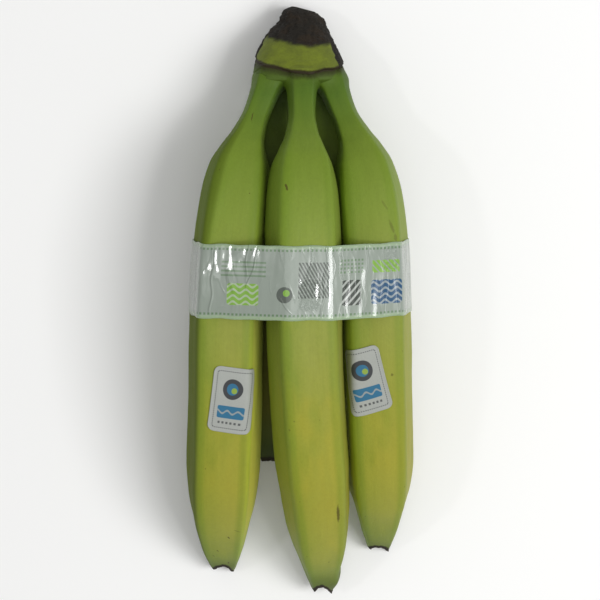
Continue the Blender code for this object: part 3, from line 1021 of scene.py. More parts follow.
    def build(self, finish: PeelFinish, crown: "Crown", others: Sequence["Finger"]) -> bpy.types.Object:
        """Make the finger.

        The skin's rows crowd towards the tip. Past the rim they turn in, run back down a
        short hollow, and close on its floor.

        Args:
            finish: The peel.
            crown: The crown that it grows from.
            others: The other fingers.

        Returns:
            The finger's object.
        """
        s, a = self.grid()
        points = self.skin(s, a)
        radius = self.radius(s, a)
        flow = np.stack((radius * np.cos(a), radius * np.sin(a), s), axis=-1)
        relief = self.relief(s, a, flow) + self.fillet(points, s, crown, others)
        points = points + relief[..., None] * self.outward(s, a)
        hollow = self.hollow(points[-1])
        on_skin = {
            "flow": flow, "along": s / self.length, "ridge": self.ridge(s, a), "painted_flank_shading": self.painted_flank_shading(s, a),
            "cover_shade": self.cover_shade(a), "scorch": self.scorch(s, a), "lip_brown_and_shade": crown.lip_brown_and_shade(points),
        }
        in_hollow = {"flow": flow[-1], "along": s[-1] / self.length, "scorch": 1.0}
        values = {}
        for name, table in on_skin.items():
            inner = np.broadcast_to(in_hollow.get(name, 0.0), (len(hollow),) + table.shape[1:])
            values[name] = np.concatenate((table, inner))
        material = finish.material(self.name + "_peel", self.length, self.marks, self.warm_patch)
        draft = capped(self.name, np.concatenate((points, hollow)), values)
        return draft.build(material, Slot.PEEL, ["banana_hand"])

    def grid(self) -> tuple[Array, Array]:
        """Distances and angles of the skin's points, in rows that bend to the broken rim."""
        even = np.linspace(0.0, 1.0, self.rings)
        distance = self.length * (even + 0.12 * np.sin(np.pi * even) * even)
        angles = np.linspace(0.0, 2.0 * np.pi, self.sides, endpoint=False)
        s, a = np.meshgrid(distance, angles, indexing="ij")
        return s + self.rim_shift(a) * smooth_step(self.length - self.rim_reach, self.length, s), a

    def relief(self, distance: Array, angles: Array, flow: Array) -> Array:
        """Height of the skin over its plain form.

        It is slow and quick ripples on the body, and near the end the bulge, the flare
        and the roughness of the rim.

        Args:
            distance: Distances along the finger.
            angles: Angles round it.
            flow: The same points on a straightened finger.

        Returns:
            One height for each point.
        """
        end = self.length - distance
        body = smooth_step(20.0, 60.0, distance) * smooth_step(0.0, 25.0, end)
        slow = 0.16 * ripples(flow * (1.0, 1.0, 0.35), 16.0, self.seed)
        quick = 0.05 * ripples(flow * (1.0, 1.0, 0.3), 5.0, self.seed + 1)
        bulge = self.stub.bulge * (hump(end, 10.5, 4.0) - 0.8 * hump(end, 3.0, 2.5))
        facing = np.cos(angles - math.radians(self.stub.flare_at))
        flare = self.stub.flare * np.exp(8.0 * (facing - 1.0)) * smooth_step(5.0, 0.0, end)
        rough = 0.12 * ripples(flow, 1.6, self.seed + 2) * smooth_step(3.0, 0.0, end)
        return body * (slow + quick) + bulge * np.maximum(np.cos(angles), 0.0) + flare + rough

    def fillet(self, points: Array, distance: Array, crown: "Crown", others: Sequence["Finger"]) -> Array:
        """Swelling where the stalk runs into the crown and its neighbours.

        It is the blend length times the logarithm of one plus the sum, over the
        neighbours, of e to the negative clearance over the blend length. Above the
        lip the finger is drawn in, so that the crown covers its root.
        """
        rows = int(np.sum(distance[:, 0] < self.fillet_reach))
        near = points[:rows]
        above_lip, clearance = crown.locate(near)
        total = np.exp(-np.maximum(clearance + 1.6, -3.0) / crown.blend)
        close = smooth_step(90.0, 101.0, near[..., 1])
        for other in others:
            total = total + close * np.exp(-np.maximum(other.clearance_from(near), -3.0) / crown.blend)
        inside = np.minimum(crown.blend * np.log1p(total), 1.3 * crown.blend)
        slim = 0.7 * smooth_step(-9.0, -3.0, above_lip)
        buried = smooth_step(-0.8, 0.3, above_lip)
        swelling = np.zeros(distance.shape)
        swelling[:rows] = (inside - slim) * (1.0 - buried) - 2.0 * buried
        return swelling

    def hollow(self, rim: Array) -> Array:
        """Rows that turn in from the rim and run back into the stub, each one narrower and deeper."""
        narrowing = np.array((0.12, 0.3, 0.42, 0.55, 0.72, 0.88))[:, None, None]
        depth = np.array((-0.15, 0.35, 1.3, 2.4, 2.9, 3.0))[:, None, None]
        travel = self.line[2][-1]
        middle = rim.mean(axis=0)
        along = np.sum((rim - middle) * travel, axis=-1, keepdims=True)
        flat = rim - along * travel
        rows = flat + (middle - flat) * narrowing + (along * (1.0 - narrowing) - depth) * travel
        return rows + 0.15 * ripples(rows, 1.5, self.seed + 3)[..., None] * travel

    def ridge(self, distance: Array, angles: Array) -> Array:
        """How close each point is to one of the lengthwise ridges, from 0 to 1."""
        outline = facet_outline(angles - math.radians(self.roll), 12.0)
        ends = smooth_step(25.0, 60.0, distance) * smooth_step(self.length, self.length - 30.0, distance)
        return smooth_step(0.985, 1.05, outline) * ends

    def painted_flank_shading(self, distance: Array, angles: Array) -> Array:
        """Painted shade on the skin beyond the two upper ridges, or painted light where negative.

        The painted shade starts nearer to the top at the shoulder than lower down, and
        reaches closer to the crown than the painted light.
        """
        past = (angles - math.radians(self.roll + 90.0) + np.pi) % (2.0 * np.pi) - np.pi
        strength = np.where(past > 0.0, self.flank_shading_strengths[0], self.flank_shading_strengths[1])
        lower = smooth_step(55.0, 125.0, distance)
        bend = np.radians(np.where(strength > 0.0, 25.0 + 13.0 * lower, 38.0))
        turned = smooth_step(bend - 0.07, bend + 0.09, np.abs(past))
        paler = 0.6 * smooth_step(40.0, 70.0, distance) + 0.4 * smooth_step(80.0, 190.0, distance)
        downward = np.where(strength > 0.0, 0.75 + 0.25 * lower, paler)
        return turned * strength * downward * smooth_step(24.0, 45.0, distance)

    def cover_shade(self, angles: Array) -> Array:
        """Painted shade on a back finger's upper side, which the front ones cover, from 0 to 1."""
        return self.shade * smooth_step(-0.1, 0.5, np.sin(angles))

    def scorch(self, distance: Array, angles: Array) -> Array:
        """Dried black along the broken rim, from 0 five millimetres before it to 1 close to it."""
        return smooth_step(5.0, 1.2, self.length + self.rim_shift(angles) - distance)


@dataclass(frozen=True)
class Crown:
    """The pad that the stalks share, with its lip, trimmed strip and dried end.

    Attributes:
        fingers: The fingers that grow from it.
        levels: Y of each section's middle.
        middle_x: X of each section's middle.
        middle_z: Z of each section's middle.
        half_width: Half width of each section.
        half_depth: Half depth of each section.
        lean: How far each section leans in Y for each millimetre up.
        squareness: Power of the sections' rounded squares, where 2 is an ellipse.
        end_slant: How far the end leans in Y for each millimetre to the right.
        blend: Length over which the stalks run into it.
        sides: Points round it.
        stretches: Start, end and number of the rows in each stretch.
        lip_level: Y of the lip.
        lip: Degrees round the crown, and how far the lip lies above its level there.
        strip_height: Degrees round the crown, and the trimmed strip's height there.
        strip_from: Degrees where the strip begins.
        strip_to: Degrees where it ends.
    """

    fingers: tuple[Finger, ...]
    levels: tuple = (98.5, 100.0, 102.2, 105.0, 109.0, 115.0, 119.7, 124.5, 129.0, 132.0, 134.0)
    middle_x: tuple = (0.0, 0.0, 0.0, -0.2, -0.4, -0.9, -0.9, -0.4, 0.9, 1.2, 2.1)
    middle_z: tuple = (32.0, 31.8, 31.4, 30.6, 28.8, 25.2, 21.2, 17.0, 13.2, 11.2, 9.8)
    half_width: tuple = (7.0, 13.0, 17.0, 19.2, 19.8, 18.4, 16.2, 13.3, 10.6, 8.9, 6.3)
    half_depth: tuple = (4.0, 8.0, 12.0, 15.0, 16.2, 15.4, 14.6, 13.8, 13.2, 12.0, 10.2)
    lean: tuple = (0.0, -0.05, -0.1, -0.17, -0.22, -0.2, -0.15, -0.1, -0.05, 0.0, 0.0)
    squareness: float = 2.6
    end_slant: float = -0.25
    blend: float = 1.5
    sides: int = 264
    stretches: tuple = ((98.5, 107.5, 26), (107.5, 113.0, 40), (113.0, 118.5, 20), (118.5, 134.0, 70))
    lip_level: float = 109.0
    lip: tuple = ((0.0, 1.45), (63.0, 1.15), (82.0, 0.15), (98.0, 1.3), (121.0, 2.6), (150.0, 3.6),
                  (180.0, 4.0), (215.0, 2.0), (270.0, 0.7), (330.0, 1.0))
    strip_height: tuple = ((0.0, 9.7), (30.0, 9.7), (63.0, 9.4), (82.0, 10.5), (98.0, 10.6), (121.0, 10.2),
                           (150.0, 9.9), (180.0, 9.5), (270.0, 10.0))
    strip_from: float = 32.0
    strip_to: float = 163.0

    def section(self, level: Array) -> tuple[Array, ...]:
        """Middle x, middle z, half width, half depth and lean at levels."""
        knots = np.array(self.levels)
        tables = (self.middle_x, self.middle_z, self.half_width, self.half_depth, self.lean)
        return tuple(monotone_curve(knots, np.array(table), level) for table in tables)

    def locate(self, points: Array) -> tuple[Array, Array]:
        """Height of points over the lip, and about how far they are outside the crown's plain section."""
        levels = np.linspace(self.levels[0], self.levels[-1], 90)
        x, z, width, depth, lean = self.section(levels)
        miss = np.abs(levels + lean * (points[..., 2:3] - z) - points[..., 1:2])
        i = np.argmin(miss, axis=-1)
        across = np.abs(points[..., 0] - x[i])
        above = np.abs(points[..., 2] - z[i])
        reach = (across / width[i]) ** self.squareness + (above / depth[i]) ** self.squareness
        reach = np.maximum(reach, 1e-9) ** (1.0 / self.squareness)
        sideways = np.hypot(across, above) * (1.0 - 1.0 / reach)
        turn = np.arctan2(np.sign(points[..., 2] - z[i]) * (above / depth[i]) ** (0.5 * self.squareness),
                          np.sign(points[..., 0] - x[i]) * (across / width[i]) ** (0.5 * self.squareness))
        above_lip = levels[i] - self.lip_level - self.lip_shift(turn)
        return above_lip, np.maximum(sideways, self.levels[0] - points[..., 1])

    def lip_brown_and_shade(self, points: Array) -> Array:
        """Brown, partly painted shade, below the lip, from 0 seven millimetres under it to 1 at it."""
        return smooth_step(-7.0, -0.5, self.locate(points)[0]) * (points[..., 1] > 90.0)

    def lip_shift(self, angles: Array) -> Array:
        """How far the lip's edge lies above its level at each angle."""
        degrees, shift = zip(*self.lip)
        uneven = 0.12 * np.sin(7.0 * angles) + 0.1 * np.sin(13.0 * angles + 1.0)
        return np.interp(np.degrees(angles), degrees, shift, period=360.0) + uneven

    def build(self, finish: CrownFinish) -> bpy.types.Object:
        """Make the crown, with rows that crowd at the lip and fill its dried end.

        Args:
            finish: The crown's colours.

        Returns:
            The crown's object.
        """
        rows = [np.linspace(low, high, count, endpoint=False) for low, high, count in self.stretches]
        level = np.concatenate(rows + [self.levels[-1:]])
        angles = np.linspace(0.0, 2.0 * np.pi, self.sides, endpoint=False)
        y, a = np.meshgrid(level, angles, indexing="ij")
        x, z, width, depth, lean = (table[:, None] for table in self.section(level))
        power = 2.0 / self.squareness
        across = np.sign(np.cos(a)) * np.abs(np.cos(a)) ** power
        above = np.sign(np.sin(a)) * np.abs(np.sin(a)) ** power
        points = np.stack((x + width * across, y + lean * depth * above, z + depth * above), axis=-1)
        points[..., 1] += self.end_slant * width * across * smooth_step(129.0, 134.0, y)
        outward = unit(np.stack((across / width, np.zeros_like(across), above / depth), axis=-1))
        above_lip = y - self.lip_level - self.lip_shift(a)
        dried = self.dryness(above_lip, a, points)
        points = points + self.relief(points, above_lip, dried)[..., None] * outward
        cap = self.cut_end(points[-1])
        well_above = np.full(cap.shape[:2], 30.0)
        draft = capped("crown", np.concatenate((points, cap)), {
            "above_lip": np.concatenate((above_lip, well_above)),
            "dried": np.concatenate((dried, np.ones_like(well_above))),
        })
        return draft.build(finish.material(), Slot.PEEL, ["banana_hand"])

    def dryness(self, above_lip: Array, angles: Array, points: Array) -> Array:
        """From 0 on the fresh strip to 1 on the dried end and on the strip's two margins."""
        degrees = np.degrees(angles)
        edge = np.interp(degrees, *zip(*self.strip_height), period=360.0)
        edge = edge + 0.3 * ripples(points, 9.0, 3) + 0.1 * ripples(points, 2.6, 4)
        top = smooth_step(-2.0, 1.2, above_lip - edge)
        turned = (degrees + 90.0) % 360.0 - 90.0 + 2.0 * ripples(points, 5.0, 6)
        right = 1.0 - smooth_step(self.strip_from - 5.0, self.strip_from + 3.0, turned)
        far = smooth_step(self.strip_to - 2.0, self.strip_to + 5.0, turned)
        right = right * smooth_step(-1.2, 0.0, above_lip)
        far = far * smooth_step(-4.5, -3.0, above_lip)
        return np.maximum(top, np.maximum(right, far))

    def relief(self, points: Array, above_lip: Array, dried: Array) -> Array:
        """Height of the skin over the plain section.

        The strip flares to the lip and steps in below it. The dried end is sunken, with
        folds and rough bark. Below the lip the skin swells where it meets the stalks.
        """
        under = np.minimum(above_lip, 0.0)
        recess = 1.9 - 1.3 * smooth_step(4.0, 15.0, -points[..., 0])
        flare = np.where(above_lip > 0.0, 0.3 * np.exp(-np.maximum(above_lip, 0.0) / 2.0),
                         0.3 - recess * (1.0 - np.exp(under / 0.35)))
        folds = 0.35 * ripples(points * (1.0, 0.45, 1.0), 5.5, 11) + 0.2 * ripples(points, 2.4, 12)
        bark = folds + 0.12 * ripples(points, 1.1, 13, 18)
        height = flare + dried * (bark - 0.3) * smooth_step(0.5, 5.0, above_lip)
        low = above_lip[:, 0] < 9.0
        clearances = [np.maximum(finger.clearance_from(points[low]), -4.0) for finger in self.fingers]
        covering = 0.8 * np.log1p(sum(np.exp(-(clearance + 1.2) / 0.8) for clearance in clearances))
        joining = self.blend * np.log1p(sum(np.exp(-clearance / self.blend) for clearance in clearances))
        share = smooth_step(-0.4, 0.2, above_lip[low])
        height[low] += share * covering + (1.0 - share) * np.minimum(joining, 1.3 * self.blend)
        return height

    def cut_end(self, rim: Array) -> Array:
        """Rows that close the dried end: drawn in to the middle, sunken, and rough with broken fibres."""
        middle = rim.mean(axis=0)
        inward = np.linspace(0.06, 0.94, 22)[:, None, None]
        rows = rim + (middle - rim) * inward
        drawn = rows * (1.0, 0.2, 1.0)
        fibres = 0.5 * ripples(drawn, 2.2, 21) + 0.3 * ripples(drawn, 1.0, 22, 18)
        cover_shade = 0.9 * np.sin(np.pi * np.minimum(inward[..., 0], 0.5)) ** 2
        rows[..., 1] += fibres * smooth_step(0.05, 0.4, inward[..., 0]) - cover_shade
        return rows


@dataclass(frozen=True)
class Crease:
    """A sharp fold in the film.

    Attributes:
        around: Place of its top end round the band.
        low: Where it starts, up the band.
        high: Where it ends.
        lean: How far its top end lies to the right of its foot.
        width: How broad it is, times the finish's own fold breadth.
        height: How high it is, times the finish's own fold height.
    """

    around: float
    low: float
    high: float
    lean: float = 0.0
    width: float = 0.35
    height: float = 0.3


@dataclass(frozen=True)
class Band:
    """The printed film, drawn tight round all five fingers.

    Each cross-section is the convex hull of the fingers' skins at that height, moved
    out by an offset, with slack ripples and a welded seam at the back.

    Attributes:
        fingers: The fingers that it holds.
        centre_y: Y of its middle.
        height: Its height.
        hull_rows: Heights at which the hull is worked out.
        rows: Rows of points up the film.
        columns: Points round it.
        inner_offset: Gap between the skins and the film.
        thickness: The film's thickness.
        seam_width: Width of the welded seam.
    """

    fingers: tuple[Finger, ...]
    centre_y: float = 16.5
    height: float = 32.0
    hull_rows: int = 7
    rows: int = 40
    columns: int = 900
    inner_offset: float = 0.15
    thickness: float = 0.16
    seam_width: float = 7.0

    def skin_points(self) -> Array:
        """Points spread over the skins of all the fingers near the band."""
        angles = np.linspace(0.0, 2.0 * np.pi, 240, endpoint=False)
        skins = []
        for finger in self.fingers:
            grid = np.meshgrid(np.linspace(0.0, finger.length, 500), angles, indexing="ij")
            skins.append(finger.skin(*grid).reshape(-1, 3))
        skin = np.concatenate(skins)
        return skin[np.abs(skin[:, 1] - self.centre_y) < 0.75 * self.height]

    def loop(self, skin: Array, y: float) -> Array:
        """The tight loop at one height, evenly spaced, from the back round by the right side."""
        near = skin[np.abs(skin[:, 1] - y) < 2.0][:, (0, 2)]
        hull = near[convex_hull_2d([tuple(point) for point in near])]
        heading = np.linspace(0.0, 2.0 * np.pi, 2880, endpoint=False) - 0.5 * np.pi
        outward = np.stack((np.cos(heading), np.sin(heading)), axis=1)
        furthest = hull[np.argmax(outward @ hull.T, axis=1)]
        return even_points(furthest + self.inner_offset * outward, self.columns, closed=True)[1]

    def build(self, finish: FilmFinish) -> bpy.types.Object:
        """Make the band from its rows of loops.

        Args:
            finish: The film and its print.

        Returns:
            The band's object.
        """
        skin = self.skin_points()
        stations = np.linspace(-0.5, 0.5, self.hull_rows) * self.height
        loops = np.stack([self.loop(skin, self.centre_y + y) for y in stations])
        up = np.linspace(-0.5, 0.5, self.rows) * self.height
        section = natural_spline(stations, loops.reshape(self.hull_rows, -1), up)
        section = section.reshape(self.rows, self.columns, 2)
        middle = section[self.rows // 2]
        turn = float(np.linalg.norm(middle - np.roll(middle, 1, axis=0), axis=1).sum())
        top = np.argmax(middle[:, 1] - 0.02 * np.abs(middle[:, 0]))
        around = (top - np.arange(self.columns)) * turn / self.columns
        a, v = np.meshgrid(around, up)
        tangent = unit(np.roll(section, -1, axis=1) - np.roll(section, 1, axis=1))
        outward = np.stack((tangent[..., 1], np.zeros_like(a), -tangent[..., 0]), axis=-1)
        wavy = 0.22 * ripples(np.stack((a, 0.0 * a), axis=-1), 14.0, 31) * (2.0 * v / self.height) ** 6
        points = np.stack((section[..., 0], self.centre_y + v + wavy, section[..., 1]), axis=-1)
        lifted = points + self.relief(a, v)[..., None] * outward
        outer = lifted + self.thickness * outward
        grid = np.concatenate((outer, lifted[::-1]))
        flat = np.stack((a, v), axis=-1)
        index = np.arange(2 * self.rows * self.columns).reshape(2 * self.rows, self.columns)
        draft = Draft("band_film", grid.reshape(-1, 3), [quads(index, True, True)], {},
                      np.concatenate((flat, flat[::-1])).reshape(-1, 2), turn)
        return draft.build(finish.material(), Slot.FILM, ["band"])

    def relief(self, around: Array, up: Array) -> Array:
        """Height of the film over the tight loop: slack ripples and the welded seam."""
        flat = np.stack((around, 0.22 * up), axis=-1)
        height = 0.06 * (1.0 + ripples(flat, 8.0, 41)) + 0.02 * ripples(flat, 3.0, 42)
        past = np.max(around) - 2.0 - around
        seam = smooth_step(0.0, 0.4, past) * smooth_step(self.seam_width, self.seam_width - 0.4, past)
        return height + 0.2 * seam


@dataclass(frozen=True)
class Sticker:
    """A small paper label bent round a finger.

    Attributes:
        name: The CAD node that it stands for.
        finger: The finger that it is on.
        from_tip: Distance of its middle back from the finger's tip.
        angle: Degrees of its middle round the finger.
        turn: Degrees that it is turned on the skin.
        width: Its width.
        height: Its height.
        corner: Radius of its corners.
        lift: Gap between the skin and the paper.
        thickness: The paper's thickness.
        columns: Points across it.
        rows: Rows of points up it.
    """

    name: str
    finger: Finger
    from_tip: float
    angle: float
    turn: float
    width: float = 19.0
    height: float = 28.7
    corner: float = 3.0
    lift: float = 0.28
    thickness: float = 0.16
    columns: int = 72
    rows: int = 108

    def sheet(self, lift: float) -> tuple[Array, Array]:
        """The label at one height over the skin, with each point's place on its flat.

        Rows run across a rectangle whose corners are round: near an end, the half width
        shrinks by the corner's circle.
        """
        v = np.linspace(-0.5, 0.5, self.rows) * self.height
        past = np.maximum(np.abs(v) - (0.5 * self.height - self.corner), 0.0)
        half = 0.5 * self.width - self.corner + np.sqrt(np.maximum(self.corner ** 2 - past ** 2, 0.0))
        across = half[:, None] * np.linspace(-1.0, 1.0, self.columns)
        along = np.repeat(v[:, None], self.columns, axis=1)
        turn = math.radians(self.turn)
        sideways = across * math.cos(turn) + along * math.sin(turn)
        lengthwise = along * math.cos(turn) - across * math.sin(turn)
        distance = self.finger.length - self.from_tip - lengthwise
        angle = math.radians(self.angle) - sideways / (self.finger.tip_widths[-1] * self.finger.girth)
        skin = self.finger.skin(distance, angle)
        normal = np.cross(np.gradient(skin, axis=1), np.gradient(skin, axis=0))
        normal = unit(normal) * np.sign(normal[..., 2:])
        rim = np.maximum(np.abs(across) / half[:, None], np.abs(along) / (0.5 * self.height))
        flat = np.stack((across, along), axis=-1)
        curl = 0.14 * smooth_step(0.9, 1.0, rim) + 0.05 * ripples(flat, 9.0, 51)
        return skin + normal * (lift + curl)[..., None], flat

    def build(self, material: bpy.types.Material) -> bpy.types.Object:
        """Make the label as a thin closed plate.

        Args:
            material: Its finish.

        Returns:
            The label's object.
        """
        top, flat = self.sheet(self.lift + self.thickness)
        bottom, _ = self.sheet(self.lift)
        count = self.rows * self.columns
        index = np.arange(count).reshape(self.rows, self.columns)
        rim = np.concatenate((index[0, :-1], index[:-1, -1], index[-1, :0:-1], index[:0:-1, 0]))
        faces = np.concatenate((quads(index), quads(index + count)[:, ::-1],
                                quads(np.stack((rim, rim + count)), wrap_columns=True)[:, ::-1]))
        draft = Draft(self.name + "_paper", np.concatenate((top, bottom)).reshape(-1, 3), [faces], {},
                      np.concatenate((flat, flat)).reshape(-1, 2))
        return draft.build(material, Slot.STICKER, [self.name])


@dataclass(frozen=True)
class Studio:
    """Pale floor, soft light, and a camera placed as the photograph's was, in metres.

    Attributes:
        target: Point that the camera and the lamps face.
        distance: Distance of the camera from it.
        tilt: Degrees that the camera leans towards the crown.
        lens: The camera's focal length, in millimetres.
        floor_half: Half the floor's side.
        sky: Strength of the even light from all round.
        lamps: Name, place, side and power of each lamp.
    """

    target: Vector = Vector((-0.0001, 0.0065, 0.038))
    distance: float = 0.8
    tilt: float = 7.0
    lens: float = 106.67
    floor_half: float = 3.0
    sky: float = 0.42
    lamps: tuple = (
        ("key", (0.78, 0.0, 1.2), 0.6, 10.8), ("top", (0.1, 0.0, 1.8), 1.1, 3.5),
        ("glint_left", (-0.62, 0.12, 1.0), 0.08, 0.7), ("glint_right", (0.4, -0.15, 1.15), 0.1, 1.0))

    def build(self) -> None:
        """Add the camera, the lights and the floor."""
        scene = bpy.context.scene
        scene.view_settings.view_transform = "Standard"
        self.camera(scene)
        for lamp in self.lamps:
            self.light(*lamp)
        self.world(scene)
        self.floor()

    def camera(self, scene: bpy.types.Scene) -> None:
        """Look down on the hand, a little from the crown's side."""
        tilt = math.radians(self.tilt)
        camera = bpy.data.objects.new("camera", bpy.data.cameras.new("camera"))
        camera.data.lens = self.lens
        camera.data.clip_end = 20.0
        camera.location = self.target + self.distance * Vector((0.0, math.sin(tilt), math.cos(tilt)))
        camera.rotation_euler = (-tilt, 0.0, 0.0)
        scene.collection.objects.link(camera)
        scene.camera = camera

    def light(self, name: str, place: tuple[float, float, float], size: float, power: float) -> None:
        """Add a square soft light that faces the hand."""
        lamp = bpy.data.lights.new(name, "AREA")
        lamp.size = size
        lamp.energy = power
        item = bpy.data.objects.new(name, lamp)
        item.location = place
        item.rotation_euler = (self.target - Vector(place)).to_track_quat("-Z", "Y").to_euler()
        bpy.context.scene.collection.objects.link(item)

    def world(self, scene: bpy.types.Scene) -> None:
        """Even pale surroundings."""
        world = bpy.data.worlds.new("surroundings")
        world.use_nodes = True
        background = world.node_tree.nodes["Background"]
        background.inputs["Color"].default_value = (1.0, 1.0, 1.0, 1.0)
        background.inputs["Strength"].default_value = self.sky
        scene.world = world

    def floor(self) -> None:
        """Add the floor, a shallow sheet of squares under the hand."""
        reach = np.linspace(-self.floor_half, self.floor_half, 9)
        x, y = np.meshgrid(reach, reach)
        points = np.stack((x, y, np.zeros_like(x)), axis=-1).reshape(-1, 3)
        mesh = bpy.data.meshes.new("floor")
        mesh.from_pydata(points.tolist(), [], quads(np.arange(81).reshape(9, 9)).tolist())
        mesh.materials.append(FloorFinish().material())
        floor = bpy.data.objects.new("floor", mesh)
        bpy.context.scene.collection.objects.link(floor)


# Broken rims of the three front fingers: degrees round the finger, and how far the rim stands out
LEFT_RIM = (
    (-90.0, 0.0), (-30.0, 1.0), (0.0, 2.0), (20.0, 2.3), (30.0, 2.2), (40.0, 1.7), (50.0, 0.4), (59.0, -2.2),
    (70.0, -6.9), (80.0, -9.1), (90.0, -9.9), (100.0, -8.8), (110.0, -7.5), (120.0, -5.5), (130.0, -2.9),
    (140.0, -1.0), (150.0, 0.8), (160.0, 2.5), (170.0, 3.7), (180.0, 4.6), (200.0, 3.0), (230.0, 0.5))
CENTRE_RIM = (
    (-90.0, 0.0), (-30.0, 1.0), (0.0, 2.4), (20.0, 1.6), (40.0, 1.3), (50.0, -0.3), (59.0, -2.2),
    (70.0, -5.4), (80.0, -7.7), (90.0, -9.6), (100.0, -9.5), (110.0, -8.9), (120.0, -6.7), (130.0, -4.2),
    (140.0, -2.1), (150.0, -0.2), (160.0, 1.3), (170.0, 2.0), (180.0, 2.4), (200.0, 1.6), (230.0, 0.3))
RIGHT_RIM = (
    (-90.0, 0.0), (-40.0, 1.5), (-15.0, 5.2), (0.0, 5.8), (10.0, 5.0), (20.0, 3.7), (30.0, 2.5), (40.0, 1.0),
    (50.0, -0.9), (59.0, -3.6), (70.0, -5.4), (80.0, -6.7), (100.0, -6.9), (110.0, -6.9), (120.0, -6.0),
    (130.0, -3.9), (140.0, -1.2), (150.0, 1.2), (165.0, 1.3), (180.0, 2.0), (200.0, 1.4), (230.0, 0.3))

# The five fingers
LEFT = Finger(
    name="finger_left", seed=101, warm_patch=0.45, stub=Stub(LEFT_RIM, flare=0.9, flare_at=38.0),
    tip_widths=(5.0, 6.9, 8.2, 9.4, 11.3, 13.2, 14.9, 16.0, 16.6, 16.6), flank_shading_strengths=(1.0, -1.2),
    path=((-11.0, 110.0, 30.5), (-13.6, 102.5, 36.0), (-18.8, 88.5, 42.0), (-24.0, 74.0, 47.5),
          (-28.8, 48.0, 53.2), (-32.0, 10.0, 58.0), (-33.6, -40.0, 52.0), (-35.9, -90.0, 31.5),
          (-36.4, -127.5, 2.2)),
    marks=(Mark(229.0, 101.0, 2.0, 0.5, 25.0, 1.0), Mark(230.5, 104.0, 1.0, 0.35, -20.0),
           Mark(37.2, 74.0, 1.1, 0.45, 30.0), Mark(26.4, 99.0, 1.0, 0.38, 35.0),
           Mark(21.6, 110.0, 1.0, 0.35, 40.0), Mark(14.1, 73.0, 1.0, 0.65, 0.0, 0.9),
           Mark(42.1, 60.0, 2.0, 0.26, 60.0, 0.45)))
CENTRE = Finger(
    name="finger_centre", seed=202, girth=1.02, roll=-6.0, warm_patch=0.7,
    stub=Stub(CENTRE_RIM, bulge=0.9),
    tip_widths=(4.9, 6.2, 7.1, 8.3, 9.9, 12.2, 14.0, 15.0, 15.5, 16.4), flank_shading_strengths=(-0.35, 0.1),
    path=((0.8, 110.0, 34.0), (0.9, 102.5, 40.5), (1.0, 88.5, 49.0), (1.2, 74.0, 56.0), (1.6, 48.0, 64.0),
          (2.3, 8.0, 66.5), (4.0, -40.0, 60.0), (7.8, -89.0, 41.0), (11.1, -137.5, 7.5)),
    marks=(Mark(206.5, 116.0, 1.6, 0.5, 20.0), Mark(64.0, 56.0, 5.2, 0.65, 0.0, 0.75),
           Mark(32.5, 73.0, 0.5, 0.45, 0.0, 0.5), Mark(108.0, 120.0, 0.5, 0.4, 0.0, 0.4)))
RIGHT = Finger(
    name="finger_right", seed=303, girth=0.98, warm_patch=0.4, stub=Stub(RIGHT_RIM, flare=0.7),
    tip_widths=(5.0, 6.6, 7.4, 8.7, 10.4, 12.5, 14.9, 16.0, 16.2, 16.4), flank_shading_strengths=(-1.7, 0.0),
    path=((12.0, 110.0, 28.0), (14.0, 102.5, 33.0), (19.0, 88.5, 38.5), (25.3, 74.0, 43.5),
          (30.5, 48.0, 49.0), (33.0, 10.0, 52.7), (34.7, -41.0, 45.4), (37.0, -87.0, 26.7),
          (37.6, -118.0, 2.2)),
    marks=(Mark(168.0, 60.0, 3.2, 0.6, 15.0, 0.35), Mark(163.5, 56.0, 1.8, 0.7, 0.0, 0.35),
           Mark(177.3, 67.0, 2.4, 0.5, 25.0, 0.25), Mark(107.6, 67.0, 0.7, 0.6, 0.0, 0.55)))
BACK_LEFT = Finger(
    name="finger_back_left", seed=404, girth=0.92, shoulder_shift=-9.0, rings=220, sides=112, shade=0.8,
    path=((-6.0, 110.0, 25.5), (-7.0, 102.5, 24.5), (-9.8, 88.0, 25.5), (-12.5, 66.0, 26.0),
          (-14.0, 48.0, 26.5), (-15.4, 5.0, 30.5), (-15.2, -35.0, 25.5), (-14.5, -74.0, 12.0)))
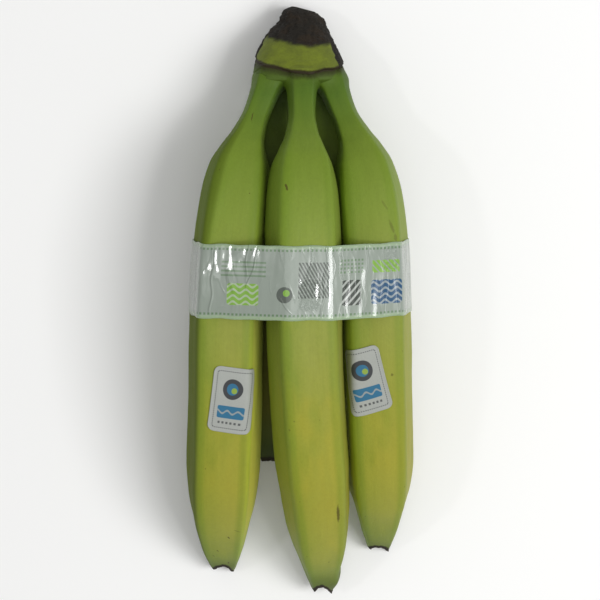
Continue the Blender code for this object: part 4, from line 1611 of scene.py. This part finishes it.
BACK_RIGHT = Finger(
    name="finger_back_right", seed=505, girth=0.92, shoulder_shift=-9.0, rings=220, sides=112, shade=0.5,
    path=((6.0, 110.0, 24.5), (7.3, 102.5, 22.8), (11.0, 88.0, 22.5), (14.0, 66.0, 20.5),
          (16.0, 48.0, 21.0), (17.2, 5.0, 24.5), (17.4, -30.0, 20.5), (18.0, -66.0, 9.5)))
FINGERS = (LEFT, CENTRE, RIGHT, BACK_LEFT, BACK_RIGHT)

# Sharp folds in the film
CREASES = (
    Crease(-33.5, -13.0, 12.0, 0.8, 0.3, 0.35), Crease(-27.0, -4.0, 5.0, -3.0, 0.7, 0.4),
    Crease(-18.5, 3.0, 16.0, 0.4, 0.25, 0.35), Crease(-13.5, -2.0, 15.0, 4.5, 0.25, 0.3),
    Crease(-3.0, -12.0, -7.0, -4.0, 0.3, 0.3), Crease(10.0, -6.0, 15.0, 2.5, 0.25, 0.35),
    Crease(16.5, -14.0, 16.0, 1.8, 0.3, 0.35), Crease(22.0, -2.0, 12.0, -2.5, 0.25, 0.25),
    Crease(33.5, -14.0, 0.0, 0.5, 0.25, 0.35), Crease(36.0, -12.0, 16.0, 1.2, 0.3, 0.4),
    Crease(38.5, -15.0, 3.0, 0.8, 0.25, 0.35), Crease(40.5, -14.0, 0.0, -1.5, 0.3, 0.4),
    Crease(44.0, -10.0, 14.0, 0.6, 0.25, 0.4), Crease(50.0, -15.0, 12.0, -1.5, 0.3, 0.45),
    Crease(-45.0, -14.0, 14.0, 2.0, 0.4, 0.4), Crease(60.0, -14.0, 13.0, 2.0, 0.4, 0.35),
)


def main() -> None:
    """Build the crown, the fingers, the band and the stickers, and set up the studio."""
    logging.basicConfig(level=logging.INFO, format="%(message)s")
    crown = Crown(FINGERS)
    crown.build(CrownFinish())
    for finger in FINGERS:
        finger.build(PeelFinish(), crown, [other for other in FINGERS if other is not finger])
    Band(FINGERS).build(FilmFinish())
    paper = StickerFinish().material()
    Sticker("sticker_left", LEFT, from_tip=109.0, angle=77.0, turn=6.0).build(paper)
    Sticker("sticker_right", RIGHT, from_tip=105.0, angle=110.5, turn=-14.0).build(paper)
    Studio().build()


if __name__ == "__main__":
    main()
